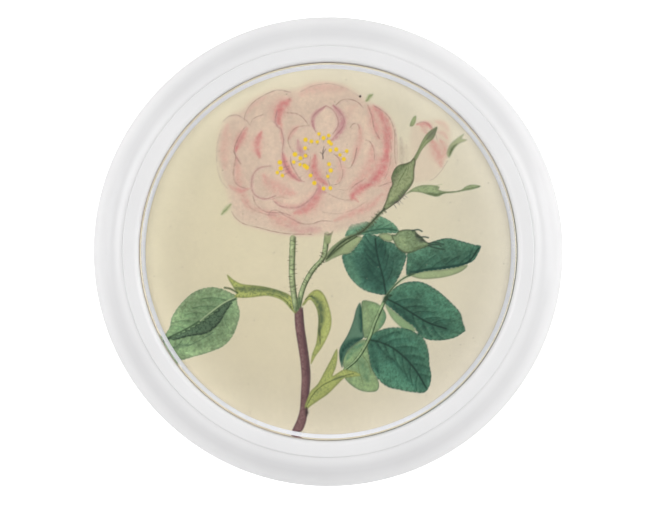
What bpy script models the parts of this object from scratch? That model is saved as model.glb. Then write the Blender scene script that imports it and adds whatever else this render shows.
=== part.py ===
"""A round powder jar with a lift-off lid, a sifter and a puff.

The lid holds a botanical print under a thick clear crystal. The jar stands at the origin and its axis
is +Z. Lengths are in millimetres here and become metres in the helper functions.
"""

import math

import bmesh
import bpy

MM = 0.001
GAP = 0.3  # clearance between pieces that touch
PAPER_GAP = 0.12  # clearance between the flat sheets under the crystal
VISIBLE_STEPS = 60  # facets round the pieces that show from outside
INNER_STEPS = 40  # facets round the inner pieces

# Driving dimensions.
LID_RADIUS = 56.0
JAR_RADIUS = 54.5
JAR_WALL = 2.4
FLOOR_HEIGHT = 0.8  # underside of the jar above the table
RIM_HEIGHT = 44.0  # top of the jar's outer wall
JAR_CORNER = 9.0  # outside radius where the jar's wall meets its floor
FLANGE_THICK = 1.2  # rim of the bowl, which hangs on the jar's wall
BOWL_RADIUS = 50.5  # inside of the bowl above the ledge
BOWL_WALL = 1.2
BOWL_FLOOR = 6.4  # height of the bowl's inner floor
LEDGE_HEIGHT = 24.0
LEDGE_WIDTH = 1.2
BOWL_CORNER = 7.0  # inside radius where the bowl's wall meets its floor
POWDER_TOP = 17.0
POWDER_DIP = 0.8  # how far the powder slopes down from its middle to the wall

SIFTER_THICK = 1.5
SIFTER_BEVEL = 0.4
SIFTER_HOLE_RADIUS = 1.3
SIFTER_RINGS = 3  # rings of holes round the knob, with 6, 12 and 18 holes
SIFTER_PITCH = 9.6  # distance from one ring of holes to the next
KNOB_RADIUS = 5.0
KNOB_HEIGHT = 3.4
KNOB_ROUND = 1.0
KNOB_WAIST = 3.4  # radius of the neck under the knob's head
KNOB_HEAD = 2.4  # height of the head above the neck
KNOB_FLARE = 0.5
CUTTER_REACH = 1.0  # how far a hole's cutter passes the disc on each side

PUFF_RADIUS = 42.0
PUFF_HEIGHT = 14.0
PILE_THICK = 5.0
PIPING_RADIUS = 1.3
PIPING_INSET = 2.4  # from the puff's edge to the middle of the piping
SEAM_DROP = 3.4  # from the top of the puff down to the seam
PILE_ROUND = 5.5  # radius of the pile's lower edge
PILE_HEM = 1.6  # from the puff's edge in to the pile's seam
DIMPLE_MARGIN = 1.0  # clearance round the sifter's knob, under the puff
DIMPLE_SLOPE = 0.6
CORE_BEVEL = 1.0
CAP_INSET = 4.2  # from the puff's edge to the cap's edge
CAP_RISE = 0.9  # from the seam up to the cap's underside
CAP_HEM = 0.5  # thickness of the cap at its edge
STRAP_WIDTH = 15.0
STRAP_THICK = 0.7
STRAP_SPAN = 46.0
STRAP_FOOT = 4.0  # length stitched down flat at each end of the strap
STRAP_CLEAR = 5.0  # height of the finger gap under the strap

BEZEL_OUTER = 48.9
BEZEL_INNER = 44.95
BEZEL_TOP = 60.0
BEZEL_LIP = 56.9  # height of the lip's underside, over the crystal's flange
BEZEL_INNER_ROUND = 1.3
BEZEL_OUTER_ROUND = 0.45
BEZEL_SEAM = 0.25  # clearance between the bezel and the shoulder
CRYSTAL_RADIUS = 44.7
CRYSTAL_FLANGE = 46.4
CRYSTAL_THICK = 5.2
CRYSTAL_EDGE = 1.1  # radius of the polished round edge
CRYSTAL_FLANGE_THICK = 2.4
PRINT_RADIUS = 43.45
PRINT_THICK = 0.2
CARD_RADIUS = 46.3
CARD_THICK = 0.8
WEB_TOP = 52.8  # floor of the recess in the lid's top
WEB_THICK = 2.2
SHOULDER_TOP = 59.6
SHOULDER_BASE = 50.0
SHOULDER_BROW = 0.35  # small radius where the shoulder meets the bezel's seat
LID_HEM = 0.8  # radius of the lid's lower edge
LID_WALL = 3.4
SPIGOT_RADIUS = 49.9
SPIGOT_WALL = 2.3
SPIGOT_DEPTH = 7.0
LINER_THICK = 1.6
SEAL_HEIGHT = 1.2
SEAL_DEPTH = 1.3
SEAL_RISE = 2.4  # middle of the seal above the spigot's lower end
SEAL_TAPER = 0.5
SEAL_LIP = 0.2  # width of the seal's outer edge
SPIGOT_BEVEL = 0.4

FOOT_INNER = 38.0
FOOT_OUTER = 42.0
FOOT_HEIGHT = 1.6
FOOT_GROOVE = 1.1
FOOT_BEVEL = 0.4

# Heights that follow from the driving dimensions.
FLANGE_TOP = RIM_HEIGHT + GAP + FLANGE_THICK
LID_BOTTOM = FLANGE_TOP + GAP
SIFTER_BOTTOM = LEDGE_HEIGHT + GAP
SIFTER_TOP = SIFTER_BOTTOM + SIFTER_THICK
PUFF_BOTTOM = SIFTER_TOP + GAP
PUFF_TOP = PUFF_BOTTOM + PUFF_HEIGHT
WEB_BOTTOM = WEB_TOP - WEB_THICK
LINER_TOP = WEB_BOTTOM - GAP
LINER_BOTTOM = LINER_TOP - LINER_THICK
SPIGOT_BOTTOM = LINER_BOTTOM - SPIGOT_DEPTH
CARD_BOTTOM = WEB_TOP + PAPER_GAP
PRINT_BOTTOM = CARD_BOTTOM + CARD_THICK + PAPER_GAP
CRYSTAL_BOTTOM = PRINT_BOTTOM + PRINT_THICK + PAPER_GAP


def clear_scene():
    for old in list(bpy.data.objects):
        bpy.data.objects.remove(old, do_unlink=True)


def make_collection(name, hidden=False):
    collection = bpy.data.collections.new(name)
    bpy.context.scene.collection.children.link(collection)
    collection.hide_render = hidden
    return collection


def material(name, colour, roughness, transmission=0.0, sheen=0.0):
    made = bpy.data.materials.new(name)
    made.use_nodes = True
    shader = made.node_tree.nodes["Principled BSDF"]
    shader.inputs["Base Color"].default_value = (*colour, 1.0)
    shader.inputs["Roughness"].default_value = roughness
    shader.inputs["Metallic"].default_value = 0.0
    shader.inputs["Transmission Weight"].default_value = transmission
    shader.inputs["Sheen Weight"].default_value = sheen
    made.diffuse_color = (*colour, 1.0)
    return made


def arc(centre, radii, start, end, steps):
    """Points on an ellipse in the (radius, height) plane, from one angle to another in degrees."""
    points = []
    for step in range(steps + 1):
        angle = math.radians(start + (end - start) * step / steps)
        across = centre[0] + radii[0] * math.cos(angle)
        up = centre[1] + radii[1] * math.sin(angle)
        points.append((across, up))
    return points


def add_mesh_object(name, bm, surface, collection):
    mesh = bpy.data.meshes.new(name)
    bm.to_mesh(mesh)
    bm.free()
    mesh.materials.append(surface)
    made = bpy.data.objects.new(name, mesh)
    collection.objects.link(made)
    return made


def turned(name, profile, surface, collection, steps=INNER_STEPS, ring=False):
    """A profile of (radius, height) points turned round Z.

    The points run down the outer side, and a ring's profile closes on itself.
    """
    bm = bmesh.new()
    points = [bm.verts.new((across * MM, 0.0, up * MM)) for across, up in profile]
    for first, second in zip(points, points[1:]):
        bm.edges.new((first, second))
    if ring:
        bm.edges.new((points[-1], points[0]))
    outline = add_mesh_object(name + "_outline", bm, surface, collection)
    screw = outline.modifiers.new("Turn", "SCREW")
    screw.steps = steps
    screw.render_steps = steps
    screw.use_merge_vertices = True
    screw.merge_threshold = 1e-6
    return settled(name, outline, collection)


def settled(name, source, collection, crisp_angle=35.0):
    """The evaluated mesh of an object as an object of its own, smooth except at its crisp edges."""
    graph = bpy.context.evaluated_depsgraph_get()
    mesh = bpy.data.meshes.new_from_object(source.evaluated_get(graph))
    mesh.name = name
    mesh.shade_smooth()
    mesh.set_sharp_from_angle(angle=math.radians(crisp_angle))
    made = bpy.data.objects.new(name, mesh)
    collection.objects.link(made)
    bpy.data.objects.remove(source, do_unlink=True)
    return made


def cylinder_cutter(name, centre, radius, low, high, surface, collection, sides=10):
    bm = bmesh.new()
    depth = (high - low) * MM
    reach = radius * MM
    bmesh.ops.create_cone(bm, cap_ends=True, segments=sides, radius1=reach, radius2=reach, depth=depth)
    made = add_mesh_object(name, bm, surface, collection)
    made.location = (centre[0] * MM, centre[1] * MM, (low + high) / 2 * MM)
    made.hide_render = True
    made.display_type = "WIRE"
    return made


def cut(target, cutters):
    boolean = target.modifiers.new("Holes", "BOOLEAN")
    boolean.operation = "DIFFERENCE"
    boolean.solver = "EXACT"
    boolean.operand_type = "COLLECTION"
    boolean.collection = cutters


def jar_pieces(parts, opal, clear, powder):
    """The outer wall, the bowl that hangs in it, the foot ring and the powder."""
    inner = JAR_RADIUS - JAR_WALL
    corner_centre = (JAR_RADIUS - JAR_CORNER, FLOOR_HEIGHT + JAR_CORNER)
    inner_corner = JAR_CORNER - JAR_WALL
    groove_top = FLOOR_HEIGHT + FOOT_GROOVE
    wall = [(0.0, FLOOR_HEIGHT + JAR_WALL)]
    wall += arc(corner_centre, (inner_corner, inner_corner), 270, 360, 4)
    wall += [(inner, RIM_HEIGHT), (JAR_RADIUS, RIM_HEIGHT)]
    wall += arc(corner_centre, (JAR_CORNER, JAR_CORNER), 0, -90, 6)
    wall += [
        (FOOT_OUTER + GAP, FLOOR_HEIGHT),
        (FOOT_OUTER + GAP, groove_top),
        (FOOT_INNER - GAP, groove_top),
        (FOOT_INNER - GAP, FLOOR_HEIGHT),
        (0.0, FLOOR_HEIGHT),
    ]
    turned("jar_shell", wall, opal, parts, VISIBLE_STEPS)

    outside = BOWL_RADIUS + BOWL_WALL
    below = BOWL_RADIUS - LEDGE_WIDTH
    underside = BOWL_FLOOR - BOWL_WALL
    bowl = [(0.0, BOWL_FLOOR)]
    bowl += arc((below - BOWL_CORNER, BOWL_FLOOR + BOWL_CORNER), (BOWL_CORNER, BOWL_CORNER), 270, 360, 4)
    bowl += [
        (below, LEDGE_HEIGHT),
        (BOWL_RADIUS, LEDGE_HEIGHT),
        (BOWL_RADIUS, FLANGE_TOP),
        (JAR_RADIUS, FLANGE_TOP),
        (JAR_RADIUS, RIM_HEIGHT + GAP),
        (outside, RIM_HEIGHT + GAP),
    ]
    corner = BOWL_CORNER + BOWL_WALL
    bowl += arc((outside - corner, underside + corner), (corner, corner), 0, -90, 4)
    bowl.append((0.0, underside))
    turned("powder_bowl", bowl, opal, parts, VISIBLE_STEPS)

    foot = [(FOOT_OUTER, FOOT_BEVEL), (FOOT_OUTER - FOOT_BEVEL, 0.0)]
    foot += [(FOOT_INNER + FOOT_BEVEL, 0.0), (FOOT_INNER, FOOT_BEVEL)]
    foot += [(FOOT_INNER, FOOT_HEIGHT), (FOOT_OUTER, FOOT_HEIGHT)]
    turned("foot_ring", foot, clear, parts, INNER_STEPS, ring=True)

    edge = below - GAP
    low = BOWL_FLOOR + GAP
    fill = [(0.0, POWDER_TOP), (edge, POWDER_TOP - POWDER_DIP)]
    fill += arc((edge - BOWL_CORNER, low + BOWL_CORNER), (BOWL_CORNER, BOWL_CORNER), 0, -90, 3)
    fill.append((0.0, low))
    turned("powder_fill", fill, powder, parts)


def sifter_pieces(parts, cutters, opal):
    """The perforated disc that rests on the bowl's ledge, and its knob."""
    edge = BOWL_RADIUS - GAP
    disc = [(0.0, SIFTER_TOP), (edge - SIFTER_BEVEL, SIFTER_TOP), (edge, SIFTER_TOP - SIFTER_BEVEL)]
    disc += [(edge, SIFTER_BOTTOM), (0.0, SIFTER_BOTTOM)]
    sifter = turned("sifter_disc", disc, opal, parts)
    for ring in range(1, SIFTER_RINGS + 1):
        for place in range(6 * ring):
            angle = 2 * math.pi * place / (6 * ring)
            reach = SIFTER_PITCH * ring
            centre = (reach * math.cos(angle), reach * math.sin(angle))
            name = f"sifter_hole_{ring}_{place:02d}"
            low = SIFTER_BOTTOM - CUTTER_REACH
            high = SIFTER_TOP + CUTTER_REACH
            cylinder_cutter(name, centre, SIFTER_HOLE_RADIUS, low, high, opal, cutters)
    cut(sifter, cutters)

    low = SIFTER_TOP + GAP
    top = SIFTER_TOP + KNOB_HEIGHT
    knob = [(0.0, top)]
    knob += arc((KNOB_RADIUS - KNOB_ROUND, top - KNOB_ROUND), (KNOB_ROUND, KNOB_ROUND), 90, -30, 3)
    knob += [(KNOB_WAIST, top - KNOB_HEAD), (KNOB_WAIST + KNOB_FLARE, low), (0.0, low)]
    turned("sifter_knob", knob, opal, parts, 24)


def strap_outline(steps=16):
    """Centre line of the finger strap in the (x, z) plane, flat at its stitched ends."""
    half = STRAP_SPAN / 2
    low = PUFF_TOP + GAP + STRAP_THICK / 2
    rise = STRAP_CLEAR + STRAP_THICK / 2
    points = []
    for step in range(steps + 1):
        along = -half + STRAP_SPAN * step / steps
        reach = min(abs(along) / (half - STRAP_FOOT), 1.0)
        points.append((along, low + rise * math.cos(math.pi / 2 * reach) ** 0.7))
    return points


def puff_pieces(parts, plush, foam, satin):
    """The plush underside, its foam pad, the satin cap with its piping, and the finger strap."""
    seam = PUFF_TOP - SEAM_DROP
    dimple = KNOB_RADIUS + DIMPLE_MARGIN
    dimple_top = SIFTER_TOP + KNOB_HEIGHT + GAP
    core_edge = PUFF_RADIUS - PILE_THICK
    core_low = PUFF_BOTTOM + PILE_THICK
    pile = [(0.0, core_low), (core_edge, core_low), (core_edge, seam), (PUFF_RADIUS - PILE_HEM, seam)]
    pile += arc((PUFF_RADIUS - PILE_ROUND, PUFF_BOTTOM + PILE_ROUND), (PILE_ROUND, PILE_ROUND), 20, -90, 5)
    pile += [(dimple, PUFF_BOTTOM), (dimple - DIMPLE_SLOPE, dimple_top), (0.0, dimple_top)]
    turned("puff_pile", pile, plush, parts)

    top_low = seam + GAP + CAP_RISE
    core = [(0.0, top_low - GAP), (core_edge - GAP - CORE_BEVEL, top_low - GAP), (core_edge - GAP, seam)]
    core += [(core_edge - GAP, core_low + GAP), (0.0, core_low + GAP)]
    turned("puff_core", core, foam, parts, 32)

    cap_edge = PUFF_RADIUS - CAP_INSET
    flat = STRAP_SPAN / 2
    hem_top = top_low + CAP_HEM
    cap = [(0.0, PUFF_TOP), (flat, PUFF_TOP)]
    cap += arc((flat, hem_top), (cap_edge - flat, PUFF_TOP - hem_top), 70, 0, 4)
    cap += [(cap_edge, top_low), (0.0, top_low)]
    turned("puff_top", cap, satin, parts)

    ring_radius = PUFF_RADIUS - PIPING_INSET
    ring = arc((ring_radius, seam + GAP + PIPING_RADIUS), (PIPING_RADIUS,) * 2, 90, -210, 5)
    turned("puff_piping", ring, satin, parts, ring=True)

    bm = bmesh.new()
    centre_line = strap_outline()
    points = [bm.verts.new((x * MM, -STRAP_WIDTH / 2 * MM, z * MM)) for x, z in centre_line]
    for first, second in zip(points, points[1:]):
        bm.edges.new((first, second))
    sweep = bmesh.ops.extrude_edge_only(bm, edges=list(bm.edges))
    moved = [item for item in sweep["geom"] if isinstance(item, bmesh.types.BMVert)]
    bmesh.ops.translate(bm, verts=moved, vec=(0.0, STRAP_WIDTH * MM, 0.0))
    bmesh.ops.recalc_face_normals(bm, faces=list(bm.faces))
    band = add_mesh_object("puff_strap_band", bm, satin, parts)
    solidify = band.modifiers.new("Thickness", "SOLIDIFY")
    solidify.thickness = STRAP_THICK * MM
    solidify.offset = 0.0
    settled("puff_strap", band, parts)


def lid_pieces(parts, opal, clear, paper, card, rubber):
    """The shell, its bezel ring and crystal, the print with its card, the liner and the seal."""
    seat = BEZEL_OUTER + BEZEL_SEAM
    brow = SHOULDER_BROW
    shoulder = LID_RADIUS - seat - brow
    cavity = LID_RADIUS - LID_WALL
    shell = [(0.0, WEB_TOP), (seat, WEB_TOP)]
    shell += arc((seat + brow, SHOULDER_TOP - brow), (brow, brow), 180, 90, 2)
    shell += arc((seat + brow, SHOULDER_BASE), (shoulder, SHOULDER_TOP - SHOULDER_BASE), 90, 0, 8)[1:]
    shell += arc((LID_RADIUS - LID_HEM, LID_BOTTOM + LID_HEM), (LID_HEM, LID_HEM), 0, -90, 2)
    shell += [(cavity, LID_BOTTOM), (cavity, WEB_BOTTOM), (0.0, WEB_BOTTOM)]
    turned("lid_shell", shell, opal, parts, VISIBLE_STEPS)

    rebate = CRYSTAL_FLANGE + GAP
    low = WEB_TOP + GAP
    inner_round = BEZEL_INNER_ROUND
    outer_round = BEZEL_OUTER_ROUND
    bezel = arc((BEZEL_INNER + inner_round, BEZEL_TOP - inner_round), (inner_round,) * 2, 180, 90, 3)
    bezel += arc((BEZEL_OUTER - outer_round, BEZEL_TOP - outer_round), (outer_round,) * 2, 90, 0, 2)
    bezel += [(BEZEL_OUTER, low), (rebate, low), (rebate, BEZEL_LIP), (BEZEL_INNER, BEZEL_LIP)]
    turned("bezel_ring", bezel, opal, parts, VISIBLE_STEPS, ring=True)

    top = CRYSTAL_BOTTOM + CRYSTAL_THICK
    step_up = CRYSTAL_BOTTOM + CRYSTAL_FLANGE_THICK
    disc = [(0.0, top)]
    disc += arc((CRYSTAL_RADIUS - CRYSTAL_EDGE, top - CRYSTAL_EDGE), (CRYSTAL_EDGE,) * 2, 90, 0, 3)
    disc += [
        (CRYSTAL_RADIUS, step_up),
        (CRYSTAL_FLANGE, step_up),
        (CRYSTAL_FLANGE, CRYSTAL_BOTTOM),
        (0.0, CRYSTAL_BOTTOM),
    ]
    turned("crystal", disc, clear, parts, VISIBLE_STEPS)

    high = PRINT_BOTTOM + PRINT_THICK
    sheet = [(0.0, high), (PRINT_RADIUS, high), (PRINT_RADIUS, PRINT_BOTTOM), (0.0, PRINT_BOTTOM)]
    turned("print_disc", sheet, paper, parts, VISIBLE_STEPS)

    high = CARD_BOTTOM + CARD_THICK
    board = [(0.0, high), (CARD_RADIUS, high), (CARD_RADIUS, CARD_BOTTOM), (0.0, CARD_BOTTOM)]
    turned("backing_card", board, card, parts, VISIBLE_STEPS)

    edge = cavity - GAP
    inside = SPIGOT_RADIUS - SPIGOT_WALL
    middle = SPIGOT_BOTTOM + SEAL_RISE
    groove_low = middle - SEAL_HEIGHT / 2 - GAP
    groove_high = middle + SEAL_HEIGHT / 2 + GAP
    groove = SPIGOT_RADIUS - SEAL_DEPTH
    liner = [(0.0, LINER_TOP), (edge, LINER_TOP), (edge, LINER_BOTTOM), (SPIGOT_RADIUS, LINER_BOTTOM)]
    liner += [(SPIGOT_RADIUS, groove_high), (groove, groove_high), (groove, groove_low)]
    liner += [(SPIGOT_RADIUS, groove_low), (SPIGOT_RADIUS - SPIGOT_BEVEL, SPIGOT_BOTTOM), (inside, SPIGOT_BOTTOM)]
    liner += [(inside, LINER_BOTTOM), (0.0, LINER_BOTTOM)]
    turned("lid_liner", liner, opal, parts)

    seal_inner = groove + GAP
    seal_outer = BOWL_RADIUS - GAP
    half = SEAL_HEIGHT / 2
    lip = SEAL_LIP / 2
    shoulder = seal_outer - SEAL_TAPER
    seal = [(seal_inner, middle + half), (shoulder, middle + half), (seal_outer, middle + lip)]
    seal += [(seal_outer, middle - lip), (shoulder, middle - half), (seal_inner, middle - half)]
    turned("seal_ring", seal, rubber, parts, ring=True)


def build():
    clear_scene()
    parts = make_collection("powder_jar")
    cutters = make_collection("cutters", hidden=True)
    opal = material("opal_white", (0.88, 0.88, 0.89), 0.18)
    clear = material("clear_crystal", (0.98, 0.99, 1.0), 0.03, transmission=1.0)
    foot = material("clear_rubber", (0.82, 0.84, 0.86), 0.4)
    powder = material("face_powder", (0.93, 0.80, 0.70), 0.95)
    plush = material("cream_plush", (0.93, 0.86, 0.78), 0.95, sheen=0.6)
    foam = material("white_foam", (0.92, 0.90, 0.84), 0.9)
    satin = material("blush_satin", (0.90, 0.66, 0.64), 0.38, sheen=0.2)
    paper = material("cream_paper", (0.70, 0.62, 0.47), 0.85)
    card = material("white_card", (0.86, 0.86, 0.88), 0.9)
    rubber = material("seal_rubber", (0.80, 0.80, 0.80), 0.5)
    jar_pieces(parts, opal, foot, powder)
    sifter_pieces(parts, cutters, opal)
    puff_pieces(parts, plush, foam, satin)
    lid_pieces(parts, opal, clear, paper, card, rubber)


build()
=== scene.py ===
"""The looks of a round powder jar: opal shells, a clear crystal over a painted rose, a sifter and a puff.

Lengths are in metres, except in the painting, whose drawing units are millimetres from the print's centre.
"""

import math

import bmesh
import bpy
import numpy as np
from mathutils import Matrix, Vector


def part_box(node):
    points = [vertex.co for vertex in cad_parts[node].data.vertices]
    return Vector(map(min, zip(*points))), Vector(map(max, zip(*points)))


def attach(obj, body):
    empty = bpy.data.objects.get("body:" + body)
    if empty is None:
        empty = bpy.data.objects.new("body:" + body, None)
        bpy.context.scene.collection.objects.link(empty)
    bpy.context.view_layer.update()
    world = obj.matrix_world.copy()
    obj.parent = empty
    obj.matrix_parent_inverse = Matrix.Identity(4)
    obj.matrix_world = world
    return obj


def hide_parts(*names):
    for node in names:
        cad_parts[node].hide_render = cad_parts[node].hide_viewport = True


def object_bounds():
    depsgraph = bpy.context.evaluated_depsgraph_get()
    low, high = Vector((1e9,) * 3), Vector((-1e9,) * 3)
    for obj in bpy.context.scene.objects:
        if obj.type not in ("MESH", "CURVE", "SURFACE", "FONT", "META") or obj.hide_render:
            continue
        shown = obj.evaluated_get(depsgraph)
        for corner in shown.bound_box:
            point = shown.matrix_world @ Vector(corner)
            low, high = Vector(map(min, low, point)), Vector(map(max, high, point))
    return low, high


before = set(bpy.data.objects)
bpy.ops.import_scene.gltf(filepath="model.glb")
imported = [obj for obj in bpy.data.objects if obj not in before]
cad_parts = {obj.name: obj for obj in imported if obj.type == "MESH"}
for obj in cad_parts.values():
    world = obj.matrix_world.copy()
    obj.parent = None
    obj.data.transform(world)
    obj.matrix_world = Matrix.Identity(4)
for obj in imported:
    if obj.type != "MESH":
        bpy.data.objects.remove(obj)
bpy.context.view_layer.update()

MM = 0.001
ROUND = 192  # facets round a turned piece
FINE_ROUND = 256  # facets round a large shell
CORNER_STEPS = 5  # facets across a small rounded corner
NOTHING = 1e-9  # a length that counts as none
CAD_GAP = 0.3 * MM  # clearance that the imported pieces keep

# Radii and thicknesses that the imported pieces' boxes don't give.
JAR_WALL = 2.4 * MM
JAR_CORNER = 9.0 * MM
BOWL_CORNER = 7.0 * MM
BOWL_WALL = 1.2 * MM
BOWL_INNER = 50.5 * MM
LEDGE_WIDTH = 1.2 * MM
LEDGE_HEIGHT = 24.0 * MM
FOOT_INNER = 38.0 * MM
FOOT_GROOVE = 1.1 * MM
BEZEL_INNER = 45.0 * MM
BEZEL_LIP = 56.9 * MM
BEZEL_ROUND = 1.3 * MM
CRYSTAL_RADIUS = 44.8 * MM
CRYSTAL_EDGE = 0.75 * MM
CRYSTAL_FLANGE_THICK = 2.4 * MM
LID_WALL = 3.4 * MM
LID_HEM = 0.8 * MM
SHOULDER_BASE = 50.0 * MM
WEB_THICK = 2.2 * MM
SPIGOT_RADIUS = 49.9 * MM
SPIGOT_WALL = 2.3 * MM
SEAL_ROOT = SPIGOT_RADIUS - 1.3 * MM  # bottom of the seal ring's groove
LINER_THICK = 1.6 * MM
RIM_EDGE = 0.3 * MM  # rounding of the jar's and the bowl's rims
POWDER_LEVEL = 0.8 * MM  # how far the powder's mean level is below the solid's top
HOLE_RINGS = 3
HOLE_SPACING = 9.6 * MM
HOLE_RADIUS = 1.3 * MM
HOLE_MOUTH = 1.75 * MM  # radius of a hole's countersink, a little above the plate

# The puff.
PILE_THICK = 5.0 * MM
PILE_ROUND = 5.5 * MM
PILE_HEM = 1.6 * MM
HEM_ROUND = 0.7 * MM
DIMPLE = 6.0 * MM  # radius of the hollow that clears the sifter's knob
FIBRES = 11000
CAP_DOME = 23.0 * MM  # radius of the cap's flat middle, where the strap's ends are sewn
CAP_TUCK = 0.42 * MM  # how far the cap goes under its corded seam
CAP_FOLDS = (37, 53, 71, 96)  # gathers round the cap, as waves that add up
CAP_VOXEL = 0.9 * MM
CAP_SWELL = 0.35 * MM  # the most that the cloth simulation may move a point
CAP_PRESSURE = 4.0
CLOTH_FRAMES = 20
CORD_TURNS = 58
STRAP_SPAN = 46.0 * MM
STRAP_FOOT = 4.0 * MM
STRAP_THICK = 0.45 * MM
STITCH_LENGTH = 1.5 * MM
STITCH_RADIUS = 0.24 * MM

# The print, in millimetres of the drawing.
PRINT_SHOWN = 43.5  # radius of what shows of it
RIM_START = 34.0  # beyond this radius the bezel shades it more and more
RIM_GAIN = 0.24  # how much lighter the pigment is at the rim, to make up for that
PRINT_GAIN = np.array((1.0, 1.0, 0.97))  # the pigment against its look through the crystal
PRINT_CELLS = 520
LINE_STEPS = 7  # steps of a curve between two of its points
ENGRAVED_PITCH = 0.34

# Radii that materials change at.
SHADOW_BAND = (50.6 * MM, 53.8 * MM)  # where a grey ring of painted shade lies on the lid's shoulder
# Where the ring of painted shade on the card's rim starts, and how soft its edge is.
RIM_SHADE_START = 44.72 * MM
RIM_SHADE_SOFT = 0.04 * MM
SATIN_THREADS = 5200.0

# The picture. Distances are in metres, and lamps' powers in watts.
IMAGE_WIDTH = 648
LID_SHARE = 469.5 / IMAGE_WIDTH  # the lid's share of the picture's width
CAMERA_DISTANCE = 2.4
CAMERA_SHIFT = (-4.2, -11.4)  # from the lid's axis, in the widths of a pixel
CAMERA_CLIP = (0.05, 20.0)
SENSOR = 36.0
FLOOR_SIZE = 3.0
FLOOR_DROP = 0.00002
FLOOR_GLOW = 0.9
SKY = 0.64
DARK_ZENITH = 0.06  # the dark space round the camera, which the flat crystal reflects
ZENITH_EDGE = (0.955, 0.985)  # how high in the sky it starts, as the sine of the height
LIGHT_AIM = (0, 0, 0.05)
LIGHTS = [  # name, place, size and power
    ("right", (0.86, 0.1, 0.12), (0.4, 0.8), 2.7),
    ("left", (-0.86, 0.1, 0.12), (0.4, 0.8), 1.9),
    ("back", (0.0, 0.85, 0.25), (0.9, 0.4), 0.25),
    ("front", (0.0, -0.85, 0.3), (0.9, 0.4), 0.25),
    ("above_right", (1.2, 0.3, 2.2), (0.8, 1.2), 10.5),
    ("above_left", (-1.2, 0.3, 2.2), (0.8, 1.2), 10.5),
]


# ---------------------------------------------------------------- mesh helpers


def arc(centre, radii, start, end, steps):
    """Points on an ellipse in the (radius, height) plane, from one angle to another in degrees."""
    points = []
    for step in range(steps + 1):
        angle = math.radians(start + (end - start) * step / steps)
        points.append((centre[0] + radii[0] * math.cos(angle), centre[1] + radii[1] * math.sin(angle)))
    return points


def rounded(corners, radius):
    """A closed (radius, height) outline with each of its convex or concave corners rounded."""
    points = []
    count = len(corners)
    for index, corner in enumerate(corners):
        before = np.array(corners[index - 1])
        here = np.array(corner)
        after = np.array(corners[(index + 1) % count])
        cut = min(radius, 0.45 * np.linalg.norm(before - here), 0.45 * np.linalg.norm(after - here))
        if here[0] < NOTHING:
            points.append(tuple(here))
            continue
        first = here + (before - here) / np.linalg.norm(before - here) * cut
        last = here + (after - here) / np.linalg.norm(after - here) * cut
        for step in range(CORNER_STEPS + 1):
            share = step / CORNER_STEPS
            point = first * (1 - share) ** 2 + here * 2 * share * (1 - share) + last * share**2
            points.append(tuple(point))
    return points


def new_object(name, mesh, surface):
    """An object of the mesh, in the scene, with one material."""
    mesh.materials.append(surface)
    made = bpy.data.objects.new(name, mesh)
    bpy.context.scene.collection.objects.link(made)
    return made


def smooth(mesh, angle=40.0):
    """Smooth shading, with edges that turn by more than the angle kept sharp."""
    mesh.shade_smooth()
    mesh.set_sharp_from_angle(angle=math.radians(angle))


def turned(name, profile, surface, steps=ROUND, ring=False):
    """A (radius, height) profile turned round Z. A ring's profile closes on itself."""
    bm = bmesh.new()
    points = [bm.verts.new((across, 0.0, up)) for across, up in profile]
    edges = [bm.edges.new(pair) for pair in zip(points, points[1:])]
    if ring:
        edges.append(bm.edges.new((points[-1], points[0])))
    bmesh.ops.spin(
        bm,
        geom=points + edges,
        cent=(0, 0, 0),
        axis=(0, 0, 1),
        angle=2 * math.pi,
        steps=steps,
        use_merge=True,
    )
    bmesh.ops.remove_doubles(bm, verts=list(bm.verts), dist=1e-7)
    bmesh.ops.recalc_face_normals(bm, faces=list(bm.faces))
    mesh = bpy.data.meshes.new(name)
    bm.to_mesh(mesh)
    bm.free()
    smooth(mesh)
    return new_object(name, mesh, surface)


def grid_faces(index):
    """Four-sided faces between the neighbours in a grid of point numbers."""
    corners = [index[:-1, :-1], index[1:, :-1], index[1:, 1:], index[:-1, 1:]]
    return np.stack(corners, -1).reshape(-1, 4)


def stands_for(piece, node, body):
    """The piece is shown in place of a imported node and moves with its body."""
    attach(piece, body)
    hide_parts(node)
    return piece


# ------------------------------------------------------------------- materials


def new_material(name, **sockets):
    """A Principled material with those values in its sockets."""
    made = bpy.data.materials.new(name)
    made.use_nodes = True
    shader = made.node_tree.nodes["Principled BSDF"]
    for socket, value in sockets.items():
        shader.inputs[socket.replace("_", " ")].default_value = value
    return made, made.node_tree, shader


def add_node(tree, kind, **settings):
    """A node whose settings are the values of its sockets, or else its properties."""
    node = tree.nodes.new(kind)
    for key, value in settings.items():
        if key in node.inputs:
            node.inputs[key].default_value = value
        else:
            setattr(node, key, value)
    return node


def in_object_space(tree, *sockets):
    """Feeds the sockets with places in the object's own space."""
    where = add_node(tree, "ShaderNodeTexCoord")
    for socket in sockets:
        tree.links.new(where.outputs["Object"], socket)


def noise_of(tree, scale, detail, stretch=(1.0, 1.0, 1.0), roughness=0.5):
    """Noise in object space, with features about 1 / scale metres apart."""
    mapping = add_node(tree, "ShaderNodeMapping", Scale=stretch)
    texture = add_node(tree, "ShaderNodeTexNoise", Scale=scale, Detail=detail, Roughness=roughness)
    in_object_space(tree, mapping.inputs["Vector"])
    tree.links.new(mapping.outputs["Vector"], texture.inputs["Vector"])
    return texture.outputs["Fac"]


def spread(tree, value, low, high, start=0.35, end=0.65):
    """A value from start to end, mapped to low to high."""
    mapped = add_node(tree, "ShaderNodeMapRange")
    mapped.inputs["From Min"].default_value = start
    mapped.inputs["From Max"].default_value = end
    mapped.inputs["To Min"].default_value = low
    mapped.inputs["To Max"].default_value = high
    tree.links.new(value, mapped.inputs["Value"])
    return mapped.outputs["Result"]


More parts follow.
